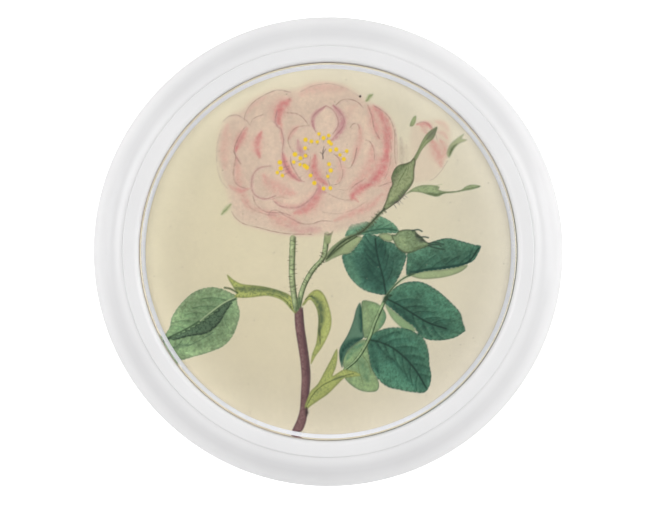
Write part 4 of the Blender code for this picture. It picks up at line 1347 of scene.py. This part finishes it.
def square_to_disc(cells):
    """Points of a grid of squares bent to a round edge of radius 1, and the grid's faces."""
    line = np.linspace(-1, 1, cells + 1)
    a, b = np.meshgrid(line, line, indexing="ij")
    wide = np.abs(a) > np.abs(b)
    reach = np.where(wide, a, b)
    with np.errstate(divide="ignore", invalid="ignore"):
        turn = np.where(wide, np.pi / 4 * b / a, np.pi / 2 - np.pi / 4 * a / b)
    turn = np.nan_to_num(turn)
    x, y = (reach * np.cos(turn)).ravel(), (reach * np.sin(turn)).ravel()
    return x, y, grid_faces(np.arange((cells + 1) ** 2).reshape(cells + 1, cells + 1))


def painted_disc(name, radius, low, high, surface):
    """A thin disc with the painting on its points."""
    x, y, faces = square_to_disc(PRINT_CELLS)
    mesh = bpy.data.meshes.new(name)
    places = np.column_stack([x * radius, y * radius, np.full(len(x), high)])
    mesh.from_pydata(places, [], faces)
    bm = bmesh.new()
    bm.from_mesh(mesh)
    rim = [edge for edge in bm.edges if edge.is_boundary]
    grown = bmesh.ops.extrude_edge_only(bm, edges=rim)["geom"]
    lower = [item for item in grown if isinstance(item, bmesh.types.BMVert)]
    bmesh.ops.translate(bm, verts=lower, vec=(0, 0, low - high))
    bmesh.ops.holes_fill(bm, edges=[edge for edge in bm.edges if edge.is_boundary])
    bmesh.ops.recalc_face_normals(bm, faces=list(bm.faces))
    bm.to_mesh(mesh)
    bm.free()
    art = Painting(*(np.array([vert.co[:2] for vert in mesh.vertices]).T / MM))
    for layer in LAYERS:
        layer(art)
    held = mesh.color_attributes.new("Painting", "FLOAT_COLOR", "POINT")
    held.data.foreach_set("color", pigment(art).astype(np.float32).ravel())
    return new_object(name, mesh, surface)


def pigment(art):
    """The painting's colours as linear light, raised where the bezel shades the print."""
    shown = np.clip(art.colour / 255, 0, 1)
    linear = np.where(shown <= 0.04045, shown / 12.92, ((shown + 0.055) / 1.055) ** 2.4)
    rim = (np.hypot(art.x, art.y) - RIM_START) / (PRINT_SHOWN - RIM_START)
    rim = np.clip(rim, 0, 1)[:, None] ** 2
    raised = np.minimum(linear * PRINT_GAIN * (1 + RIM_GAIN * rim), 0.98)
    return np.column_stack([raised, np.ones(len(raised))])


# ------------------------------------------------------------------- the pieces


def make_lid_shell(opal):
    """The lid's shell: a recess for the print, a convex shoulder, and a cavity behind it."""
    low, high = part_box("lid_shell")
    bezel_low, bezel_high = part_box("bezel_ring")
    radius, seat = high.x, bezel_high.x
    web_top = bezel_low.z - CAD_GAP
    web_bottom = web_top - WEB_THICK
    brow = 0.1 * MM
    cavity = radius - LID_WALL
    hem_cut = 0.4 * MM
    shell = [(0.0, web_top), (seat, web_top)]
    shell += arc((seat + brow, high.z - brow), (brow, brow), 180, 90, 6)
    shoulder = (radius - seat - brow, high.z - SHOULDER_BASE)
    shell += arc((seat + brow, SHOULDER_BASE), shoulder, 90, 0, 40)[1:]
    shell += arc((radius - LID_HEM, low.z + LID_HEM), (LID_HEM, LID_HEM), 0, -90, 8)
    shell += [(cavity + hem_cut, low.z), (cavity, low.z + hem_cut)]
    shell += [(cavity, web_bottom), (0.0, web_bottom)]
    made = turned("lid_shell_opal", shell, opal, FINE_ROUND)
    stands_for(made, "lid_shell", "lid")


def make_bezel(opal):
    """The ring that holds the crystal down, with a lip over the crystal's flange."""
    low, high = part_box("bezel_ring")
    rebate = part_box("crystal")[1].x + CAD_GAP
    edge = 0.2 * MM
    inner_round = (BEZEL_INNER + BEZEL_ROUND, high.z - BEZEL_ROUND)
    ring = arc(inner_round, (BEZEL_ROUND, BEZEL_ROUND), 180, 90, 12)
    ring += arc((high.x - edge, high.z - edge), (edge, edge), 90, 0, 8)
    ring += [(high.x, low.z), (rebate, low.z), (rebate, BEZEL_LIP), (BEZEL_INNER, BEZEL_LIP)]
    made = turned("bezel_ring_opal", ring, opal, FINE_ROUND, ring=True)
    stands_for(made, "bezel_ring", "lid")


def make_crystal(crystal):
    """The clear disc, with a polished round edge above its flange."""
    low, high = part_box("crystal")
    step_up = low.z + CRYSTAL_FLANGE_THICK
    edge = (CRYSTAL_RADIUS - CRYSTAL_EDGE, high.z - CRYSTAL_EDGE)
    disc = [(0.0, high.z)]
    disc += arc(edge, (CRYSTAL_EDGE, CRYSTAL_EDGE), 90, 0, 16)
    disc += [(CRYSTAL_RADIUS, step_up), (high.x, step_up), (high.x, low.z), (0.0, low.z)]
    made = turned("crystal_clear", disc, crystal, FINE_ROUND)
    stands_for(made, "crystal", "lid")


def make_print(paper, card):
    """The painted print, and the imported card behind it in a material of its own."""
    low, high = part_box("print_disc")
    sheet = painted_disc("print_sheet", high.x, low.z, high.z, paper)
    stands_for(sheet, "print_disc", "lid")
    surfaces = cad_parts["backing_card"].data.materials
    surfaces.clear()
    surfaces.append(card)


def make_liner(opal):
    """The plate that closes the lid from below, and the spigot with its groove."""
    low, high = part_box("lid_liner")
    seal_low, seal_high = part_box("seal_ring")
    groove_low, groove_high = seal_low.z - CAD_GAP, seal_high.z + CAD_GAP
    inside = SPIGOT_RADIUS - SPIGOT_WALL
    floor = high.z - LINER_THICK
    liner = [(0.0, high.z), (high.x, high.z), (high.x, floor), (SPIGOT_RADIUS, floor)]
    liner += [(SPIGOT_RADIUS, groove_high), (SEAL_ROOT, groove_high)]
    liner += [(SEAL_ROOT, groove_low), (SPIGOT_RADIUS, groove_low)]
    liner += [(SPIGOT_RADIUS - 0.4 * MM, low.z), (inside, low.z), (inside, floor), (0.0, floor)]
    made = turned("lid_liner_opal", rounded(liner, 0.35 * MM), opal)
    stands_for(made, "lid_liner", "lid")


def make_seal(seal):
    """The soft ring in the spigot's groove, wedge-shaped outside."""
    low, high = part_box("seal_ring")
    inner = SEAL_ROOT + CAD_GAP
    middle, half = (low.z + high.z) / 2, (high.z - low.z) / 2
    shoulder = high.x - 0.6 * MM
    lip = [(inner, high.z), (shoulder, high.z), (high.x, middle), (shoulder, low.z), (inner, low.z)]
    made = turned("seal_ring_silicone", rounded(lip, half * 0.5), seal, ring=True)
    stands_for(made, "seal_ring", "lid")


def make_jar_shell(opal):
    """The jar's outer wall, with a groove underneath for the foot ring."""
    low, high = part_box("jar_shell")
    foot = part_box("foot_ring")[1]
    radius, edge = high.x, RIM_EDGE
    inner = radius - JAR_WALL
    corner = (radius - JAR_CORNER, low.z + JAR_CORNER)
    inner_corner = JAR_CORNER - JAR_WALL
    groove_top = low.z + FOOT_GROOVE
    wall = [(0.0, low.z + JAR_WALL)]
    wall += arc(corner, (inner_corner, inner_corner), 270, 360, 16)
    wall += arc((inner + edge, high.z - edge), (edge, edge), 180, 90, 4)
    wall += arc((radius - edge, high.z - edge), (edge, edge), 90, 0, 4)
    wall += arc(corner, (JAR_CORNER, JAR_CORNER), 0, -90, 28)
    wall += [(foot.x + CAD_GAP, low.z), (foot.x + CAD_GAP, groove_top)]
    wall += [(FOOT_INNER - CAD_GAP, groove_top), (FOOT_INNER - CAD_GAP, low.z), (0.0, low.z)]
    made = turned("jar_shell_opal", wall, opal, FINE_ROUND)
    stands_for(made, "jar_shell", "jar")


def make_bowl(opal):
    """The bowl that hangs from the jar's rim, with a ledge for the sifter."""
    low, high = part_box("powder_bowl")
    jar_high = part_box("jar_shell")[1]
    radius, edge = jar_high.x, RIM_EDGE
    outside = BOWL_INNER + BOWL_WALL
    below = BOWL_INNER - LEDGE_WIDTH
    floor = low.z + BOWL_WALL
    outer_corner = BOWL_CORNER + BOWL_WALL
    bowl = [(0.0, floor)]
    bowl += arc((below - BOWL_CORNER, floor + BOWL_CORNER), (BOWL_CORNER, BOWL_CORNER), 270, 360, 16)
    bowl += arc((below + edge, LEDGE_HEIGHT - edge), (edge, edge), 180, 90, 4)
    bowl.append((BOWL_INNER, LEDGE_HEIGHT))
    bowl += arc((BOWL_INNER + edge, high.z - edge), (edge, edge), 180, 90, 4)
    bowl += arc((radius - edge, high.z - edge), (edge, edge), 90, 0, 4)
    bowl += [(radius, jar_high.z + CAD_GAP), (outside, jar_high.z + CAD_GAP)]
    bowl += arc((outside - outer_corner, low.z + outer_corner), (outer_corner, outer_corner), 0, -90, 16)
    bowl.append((0.0, low.z))
    stands_for(turned("powder_bowl_opal", bowl, opal), "powder_bowl", "jar")


def make_foot(rubber):
    """The soft ring that the jar stands on."""
    low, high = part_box("foot_ring")
    ring = [(high.x, high.z), (high.x, low.z), (FOOT_INNER, low.z), (FOOT_INNER, high.z)]
    made = turned("foot_ring_soft", rounded(ring, 0.4 * MM), rubber, ring=True)
    stands_for(made, "foot_ring", "jar")


def make_powder(powder):
    """Loose powder with a soft dune-like top."""
    low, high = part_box("powder_fill")
    radius = high.x
    rings = 60
    level = high.z - POWDER_LEVEL
    top = [(radius * step / rings, level) for step in range(rings + 1)]
    corner = arc((radius - BOWL_CORNER, low.z + BOWL_CORNER), (BOWL_CORNER, BOWL_CORNER), 0, -90, 12)
    made = turned("powder_heap", top + corner + [(0.0, low.z)], powder, 160)
    for vert in made.data.vertices:
        if vert.co.z < level - 0.1 * MM:
            continue
        x, y = np.array([vert.co.x]) / MM, np.array([vert.co.y]) / MM
        dune = lattice_noise(x, y, 14.0, 41)[0] - 0.5 + 0.45 * (lattice_noise(x, y, 4.5, 42)[0] - 0.5)
        crumb = lattice_noise(x, y, 1.4, 43)[0] - 0.5
        rim = min(1.0, (radius - math.hypot(vert.co.x, vert.co.y)) / (2.5 * MM))
        vert.co.z += (1.3 * dune + 0.22 * crumb) * MM * rim
    smooth(made.data, 60.0)
    stands_for(made, "powder_fill", "jar")


def make_sifter(opal):
    """The perforated plate, with a shallow groove round its edge."""
    low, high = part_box("sifter_disc")
    edge, groove, lip = high.x, high.z - 0.3 * MM, 0.4 * MM
    profile = [(0.0, high.z), (edge - 4.4 * MM, high.z), (edge - 4.0 * MM, groove)]
    profile += [(edge - 3.2 * MM, groove), (edge - 2.8 * MM, high.z)]
    profile += arc((edge - lip, high.z - lip), (lip, lip), 90, 0, 5)
    profile += [(edge, low.z), (0.0, low.z)]
    plate = turned("sifter_plate", profile, opal)
    cutters = hole_cutters(low.z, high.z, opal)
    boolean = plate.modifiers.new("Holes", "BOOLEAN")
    boolean.object = cutters
    boolean.operation = "DIFFERENCE"
    apply_modifiers(plate)
    bpy.data.objects.remove(cutters, do_unlink=True)
    smooth(plate.data, 30.0)
    stands_for(plate, "sifter_disc", "sifter")


def hole_cutters(low, high, surface):
    """Rings of countersunk plugs, joined, to cut the sifter's holes with."""
    beyond = 1 * MM
    hole = [(0.0, high + beyond), (HOLE_MOUTH, high + beyond), (HOLE_RADIUS, high - 0.35 * MM)]
    hole += [(HOLE_RADIUS, low - beyond), (0.0, low - beyond)]
    cutters = []
    for ring in range(1, HOLE_RINGS + 1):
        for place in range(6 * ring):
            angle = 2 * math.pi * place / (6 * ring)
            reach = HOLE_SPACING * ring
            cutter = turned(f"hole_{ring}_{place}", hole, surface, 24)
            cutter.location = (reach * math.cos(angle), reach * math.sin(angle), 0)
            cutters.append(cutter)
    join(cutters)
    return cutters[0]


def make_knob(opal):
    """The sifter's mushroom-shaped knob."""
    low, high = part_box("sifter_knob")
    head, foot = 1.0 * MM, 0.9 * MM
    waist = high.x - 1.6 * MM
    knob = [(0.0, high.z - 0.15 * MM)]
    knob += arc((high.x - head, high.z - head), (head, head), 90, -50, 16)
    knob += arc((waist + foot, low.z + foot), (foot, foot), 180, 235, 5)
    knob.append((0.0, low.z))
    made = turned("sifter_knob_opal", knob, opal, 96)
    stands_for(made, "sifter_knob", "sifter")


def dense(profile, step):
    """The profile with points added so that none are further apart than step."""
    found = [profile[0]]
    for first, second in zip(profile, profile[1:]):
        count = max(1, math.ceil(math.dist(first, second) / step))
        for index in range(1, count + 1):
            share = index / count
            found.append(tuple(a + (b - a) * share for a, b in zip(first, second)))
    return found


def points_of(mesh):
    """The places of the mesh's points, one a row."""
    places = np.empty(len(mesh.vertices) * 3)
    mesh.vertices.foreach_get("co", places)
    return places.reshape(-1, 3)


def move_points(mesh, places):
    """Puts the mesh's points at those places."""
    mesh.vertices.foreach_set("co", places.ravel())
    mesh.update()


def push(mesh, amounts):
    """Moves each point along its normal."""
    normals = np.empty(len(mesh.vertices) * 3)
    mesh.vertex_normals.foreach_get("vector", normals)
    move_points(mesh, points_of(mesh) + normals.reshape(-1, 3) * amounts[:, None])


def make_pile(plush):
    """Short plush that wraps the pad from below, in tufts about a millimetre apart."""
    low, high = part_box("puff_pile")
    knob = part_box("sifter_knob")[1]
    radius, seam = high.x, high.z
    core_low, core_edge = low.z + PILE_THICK, radius - PILE_THICK
    dimple_top = knob.z + CAD_GAP
    inside = [(0.0, core_low), (core_edge, core_low), (core_edge, seam)]
    hem = arc((radius - PILE_HEM - HEM_ROUND, seam - HEM_ROUND), (HEM_ROUND, HEM_ROUND), 90, 10, 6)
    side = arc((radius - PILE_ROUND, low.z + PILE_ROUND), (PILE_ROUND, PILE_ROUND), 20, -90, 16)
    under = [(DIMPLE + 0.8 * MM, low.z), (DIMPLE, low.z + 0.4 * MM)]
    under += [(DIMPLE - 0.6 * MM, dimple_top), (0.0, dimple_top)]
    step = 0.5 * MM
    made = turned("plush_pile", inside + dense(hem + side + under, step), plush, 420)
    places = points_of(made.data) / MM
    x, y, z = places.T
    shown = (np.hypot(x, y) > core_edge / MM + 0.3) | (z < core_low / MM - 0.3)
    tuft = lattice_noise(x + 0.8 * z, y - 0.8 * z, 1.15, 51) * 0.65
    tuft += lattice_noise(x - z, y + z, 0.55, 52) * 0.35
    lie = lattice_noise(x, y, 9.0, 53)
    push(made.data, -1.0 * shown * (0.75 * (1 - tuft) + 0.35 * (1 - lie)) * MM)
    smooth(made.data, 180.0)
    stands_for(made, "puff_pile", "puff")
    make_fibres(plush, radius, low.z, seam)


def make_fibres(plush, radius, low, seam):
    """The loose tips of the plush round the puff's side, each a fine tapered blade."""
    dice = np.random.default_rng(71)
    angle = dice.random(FIBRES) * 2 * math.pi
    height = low + PILE_ROUND * 0.25 + dice.random(FIBRES) * (seam - low - PILE_ROUND * 0.5)
    drop = np.clip((low + PILE_ROUND - height) / PILE_ROUND, 0, 1)
    reach = radius - PILE_ROUND * (1 - np.sqrt(1 - drop**2)) - 0.9 * MM
    outward = np.column_stack([np.cos(angle), np.sin(angle), np.zeros(FIBRES)])
    around = np.column_stack([-np.sin(angle), np.cos(angle), np.zeros(FIBRES)])
    root = outward * reach[:, None] + np.column_stack([np.zeros(FIBRES), np.zeros(FIBRES), height])
    lean = dice.normal(0, 0.45, (FIBRES, 2))
    way = outward + around * lean[:, :1] + np.array([0, 0, 1.0]) * (lean[:, 1:] - 0.5 * drop[:, None])
    length = (1.0 + 0.8 * dice.random(FIBRES))[:, None] * MM
    tip = root + way / np.linalg.norm(way, axis=1, keepdims=True) * length
    side = around * 0.07 * MM
    mesh = bpy.data.meshes.new("plush_fibres")
    points = np.stack([root - side, root + side, tip], 1).reshape(-1, 3)
    mesh.from_pydata(points, [], np.arange(FIBRES * 3).reshape(-1, 3))
    made = new_object("plush_fibres", mesh, plush)
    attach(made, "puff")


def make_core(foam):
    """The foam pad inside the plush."""
    low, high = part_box("puff_core")
    pad = [(0.0, high.z), (high.x, high.z), (high.x, low.z), (0.0, low.z)]
    made = turned("foam_pad", rounded(pad, 1.2 * MM), foam, 120)
    stands_for(made, "puff_core", "puff")


def inflate(piece, voxel, pressure, reach):
    """Fills a closed mesh with air as cloth, without letting any point move further than reach."""
    remesh = piece.modifiers.new("Even", "REMESH")
    remesh.mode = "VOXEL"
    remesh.voxel_size = voxel
    apply_modifiers(piece)
    start = points_of(piece.data)
    cloth = piece.modifiers.new("Air", "CLOTH")
    cloth.settings.use_pressure = True
    cloth.settings.uniform_pressure_force = pressure
    cloth.settings.effector_weights.gravity = 0.0
    cloth.settings.quality = 8
    for step in range(1, CLOTH_FRAMES + 1):
        bpy.context.scene.frame_set(step)
    apply_modifiers(piece)
    bpy.context.scene.frame_set(1)
    moved = points_of(piece.data) - start
    length = np.linalg.norm(moved, axis=1, keepdims=True)
    held = start + moved * np.minimum(1.0, reach / np.maximum(length, NOTHING))
    move_points(piece.data, held)


def make_cap(satin):
    """The satin cap, blown up a little as cloth, then gathered towards its corded seam."""
    low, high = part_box("puff_top")
    edge = high.x + CAP_TUCK
    rise = (edge - CAP_DOME * 0.5, high.z - low.z - 0.5 * MM)
    dome = [(0.0, high.z), (CAP_DOME * 0.5, high.z)]
    dome += arc((CAP_DOME * 0.5, low.z + 0.5 * MM), rise, 88, 0, 20)
    dome += [(edge, low.z), (0.0, low.z)]
    made = turned("satin_cap", dense(dome, 1.0 * MM), satin, 160)
    inflate(made, CAP_VOXEL, CAP_PRESSURE, CAP_SWELL)
    finer = made.modifiers.new("Finer", "SUBSURF")
    finer.levels = 1
    apply_modifiers(made)
    places = points_of(made.data)
    reach = np.hypot(places[:, 0], places[:, 1])
    angle = np.arctan2(places[:, 1], places[:, 0])
    near_edge = np.clip((reach - 0.42 * high.x) / (0.55 * high.x), 0, 1) ** 1.4
    ripple = np.zeros(len(places))
    dice = np.random.default_rng(61)
    for folds in CAP_FOLDS:
        start = dice.random() * 2 * math.pi
        sway = 3 * np.sin(angle * dice.integers(2, 6))
        ripple += np.sin(folds * angle + start + sway) / len(CAP_FOLDS)
    top = np.clip((places[:, 2] - low.z) / (1.0 * MM), 0, 1)
    places[:, 2] += 0.85 * MM * near_edge * top * (ripple - 0.4)
    dent = np.exp(-((np.abs(places[:, 0]) - STRAP_SPAN / 2 + STRAP_FOOT) / (3 * MM)) ** 2)
    dent *= np.exp(-((places[:, 1] / (7 * MM)) ** 4))
    places[:, 2] -= 0.3 * MM * dent * top
    places[:, 2] = np.clip(places[:, 2], low.z, high.z + 0.1 * MM)
    move_points(made.data, places)
    smooth(made.data, 180.0)
    stands_for(made, "puff_top", "puff")


def make_piping(satin):
    """Two-strand twisted cord laid round the seam."""
    low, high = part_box("puff_piping")
    thick = (high.z - low.z) / 2
    ring = high.x - thick
    middle = (low.z + high.z) / 2
    around, across = ((1100, 24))
    theta, phi = np.meshgrid(
        np.linspace(0, 2 * math.pi, around, endpoint=False),
        np.linspace(0, 2 * math.pi, across, endpoint=False),
    )
    strand = np.abs(np.cos(phi - CORD_TURNS * theta))
    reach = thick * (0.78 + 0.22 * strand**0.6)
    x = (ring + reach * np.cos(phi)) * np.cos(theta)
    y = (ring + reach * np.cos(phi)) * np.sin(theta)
    z = middle + reach * np.sin(phi)
    index = np.arange(around * across).reshape(across, around)
    right, up = np.roll(index, -1, axis=1), np.roll(index, -1, axis=0)
    corner = np.roll(right, -1, axis=0)
    faces = np.stack([index, right, corner, up], -1).reshape(-1, 4)
    mesh = bpy.data.meshes.new("corded_seam")
    mesh.from_pydata(np.column_stack([x.ravel(), y.ravel(), z.ravel()]), [], faces.tolist())
    smooth(mesh, 180.0)
    stands_for(new_object("corded_seam", mesh, satin), "puff_piping", "puff")


def make_strap(satin, thread):
    """A satin ribbon that arches over the puff, crowned across its width and sewn down flat at its ends."""
    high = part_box("puff_strap")[1]
    cap_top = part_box("puff_top")[1].z
    half, wide = STRAP_SPAN / 2, high.y
    base = cap_top + 0.12 * MM
    rise = high.z - base - STRAP_THICK - 0.25 * MM
    along = np.linspace(-half, half, 121)
    across = np.linspace(-1, 1, 33)
    u, v = np.meshgrid(along, across, indexing="ij")
    share = np.clip(np.abs(u) / (half - STRAP_FOOT), 0, 1)
    arch = np.cos(math.pi / 2 * share) ** 0.7
    crown = 0.28 * MM * (1 - v**2) * arch
    sway = 0.25 * MM * np.sin(u / (9 * MM)) * np.sin(2.5 * v) * arch
    pinch = 1 - 0.05 * np.exp(-(((share - 1) / 0.12) ** 2))
    selvedge = 0.2 * MM * np.exp(-(((np.abs(v) - 0.9) / 0.05) ** 2))
    z = base + rise * arch + crown + sway
    top = np.stack([u, v * wide * pinch, z + STRAP_THICK + selvedge], -1).reshape(-1, 3)
    under = np.stack([u, v * wide * pinch, z], -1).reshape(-1, 3)
    rows, columns = u.shape
    index = np.arange(rows * columns).reshape(rows, columns)
    upper = grid_faces(index)
    rim = np.concatenate([index[:, 0], index[-1, 1:], index[-2::-1, -1], index[0, -2:0:-1]])
    beyond = np.roll(rim, -1)
    offset = rows * columns
    sides = np.stack([rim, rim + offset, beyond + offset, beyond], -1)
    faces = np.vstack([upper, upper[:, ::-1] + offset, sides])
    mesh = bpy.data.meshes.new("ribbon_strap")
    mesh.from_pydata(np.vstack([top, under]), [], faces.tolist())
    bm = bmesh.new()
    bm.from_mesh(mesh)
    bmesh.ops.recalc_face_normals(bm, faces=list(bm.faces))
    bm.to_mesh(mesh)
    bm.free()
    smooth(mesh, 50.0)
    made = stands_for(new_object("ribbon_strap", mesh, satin), "puff_strap", "puff")
    stitches = make_stitches(half, wide, base + STRAP_THICK, thread)


def make_stitches(half, wide, height, thread):
    """Rows of thread that hold the strap's ends down, as short rounded stitches."""
    bm = bmesh.new()
    for side in (-1, 1):
        for row in (0.6 * MM, 3.2 * MM):
            for step in range(-4, 5):
                place = (side * (half - row), step * wide / 5, height + 0.08 * MM)
                grown = bmesh.ops.create_uvsphere(bm, u_segments=10, v_segments=6, radius=STITCH_RADIUS)
                made = grown["verts"]
                for vert in made:
                    vert.co.y *= STITCH_LENGTH / 2 / STITCH_RADIUS
                bmesh.ops.translate(bm, verts=made, vec=place)
    mesh = bpy.data.meshes.new("strap_stitches")
    bm.to_mesh(mesh)
    bm.free()
    smooth(mesh, 180.0)
    made = new_object("strap_stitches", mesh, thread)
    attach(made, "puff")
    return made


def join(objects):
    """Makes one object, the first, of them all."""
    with bpy.context.temp_override(active_object=objects[0], selected_editable_objects=objects):
        bpy.ops.object.join()


def apply_modifiers(piece):
    """Replaces the piece's mesh with its evaluated one."""
    bpy.context.view_layer.update()
    graph = bpy.context.evaluated_depsgraph_get()
    mesh = bpy.data.meshes.new_from_object(piece.evaluated_get(graph))
    piece.modifiers.clear()
    piece.data = mesh


# ------------------------------------------------------------ floor, light, camera


def make_stage():
    """A plain pale floor that looks white from above and keeps a faint contact shadow."""
    made, tree, shader = new_material(
        "pale_floor", Roughness=0.6, Specular_IOR_Level=0.1, Emission_Color=(1, 1, 1, 1)
    )
    grain = spread(tree, noise_of(tree, 40.0, 2.0), 0.0, 1.0)
    tree.links.new(between(tree, grain, (0.93, 0.93, 0.93), (0.95, 0.95, 0.95)), shader.inputs["Base Color"])
    path = add_node(tree, "ShaderNodeLightPath")
    glow = spread(tree, path.outputs["Is Camera Ray"], 0.0, FLOOR_GLOW, 0.0, 1.0)
    tree.links.new(glow, shader.inputs["Emission Strength"])
    mesh = bpy.data.meshes.new("floor")
    bm = bmesh.new()
    bmesh.ops.create_grid(bm, x_segments=1, y_segments=1, size=FLOOR_SIZE)
    bm.to_mesh(mesh)
    bm.free()
    floor = new_object("floor", mesh, made)
    floor.location.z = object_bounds()[0].z - FLOOR_DROP


def area_light(name, place, size, power):
    """A soft rectangular lamp, turned towards the jar."""
    data = bpy.data.lights.new(name, "AREA")
    data.shape = "RECTANGLE"
    data.size, data.size_y = size
    data.energy = power
    made = bpy.data.objects.new(name, data)
    bpy.context.scene.collection.objects.link(made)
    made.location = place
    made.rotation_euler = (Vector(LIGHT_AIM) - Vector(place)).to_track_quat("-Z", "Y").to_euler()


def make_lights():
    """A bright even sky with a dark zenith, and the lamps."""
    world = bpy.data.worlds.new("studio")
    bpy.context.scene.world = world
    world.use_nodes = True
    tree = world.node_tree
    tree.nodes["Background"].inputs["Color"].default_value = (1.0, 0.998, 1.0, 1.0)
    where = add_node(tree, "ShaderNodeTexCoord")
    split = add_node(tree, "ShaderNodeSeparateXYZ")
    tree.links.new(where.outputs["Generated"], split.inputs["Vector"])
    sky = spread(tree, split.outputs["Z"], SKY, DARK_ZENITH, *ZENITH_EDGE)
    tree.links.new(sky, tree.nodes["Background"].inputs["Strength"])
    for lamp in LIGHTS:
        area_light(*lamp)


def make_camera():
    """A camera that looks straight down, so far away that the lid has its size in the photo."""
    low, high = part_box("lid_shell")
    data = bpy.data.cameras.new("camera")
    data.sensor_width = SENSOR
    pitch = (high.x - low.x) / (LID_SHARE * IMAGE_WIDTH)
    data.lens = SENSOR * CAMERA_DISTANCE / (pitch * IMAGE_WIDTH)
    data.clip_start, data.clip_end = CAMERA_CLIP
    made = bpy.data.objects.new("camera", data)
    bpy.context.scene.collection.objects.link(made)
    across, up = CAMERA_SHIFT
    made.location = (across * pitch, up * pitch, SHOULDER_BASE + CAMERA_DISTANCE)
    bpy.context.scene.camera = made


def make_lid(opal):
    """Everything that is lifted off with the lid."""
    # The lid's shell carries a grey ring of painted shade on its shoulder.
    shade_banded_opal = opal_material("opal_lid", SHADOW_BAND)
    crystal, paper, card = crystal_material(), paper_material(), card_material()
    seal = rubber_material("silicone", (0.70, 0.70, 0.71), (0.78, 0.78, 0.79), 0.4)
    make_lid_shell(shade_banded_opal)
    make_bezel(opal)
    make_crystal(crystal)
    make_print(paper, card)
    make_liner(opal)
    make_seal(seal)


def make_jar(opal):
    """The jar with its bowl, its foot ring and the powder in it."""
    make_jar_shell(opal)
    make_bowl(opal)
    make_foot(rubber_material("foot_silicone", (0.74, 0.76, 0.79), (0.84, 0.86, 0.88), 0.32))
    make_powder(powder_material())


def make_puff():
    """The puff: plush underside, foam pad, satin cap with gathers, corded seam and ribbon strap."""
    blush = satin_material("blush_satin", (0.78, 0.42, 0.41), (0.86, 0.52, 0.50))
    make_pile(plush_material("cream_plush", (0.80, 0.69, 0.57), (0.93, 0.86, 0.78)))
    make_core(foam_material())
    make_cap(blush)
    make_piping(blush)
    make_strap(blush, thread_material())


def main():
    """Builds every piece, the stage, the lamps and the camera."""
    opal = opal_material()
    make_lid(opal)
    make_jar(opal)
    make_sifter(opal)
    make_knob(opal)
    make_puff()
    make_stage()
    make_lights()
    make_camera()
    bpy.context.scene.view_settings.view_transform = "Standard"


main()
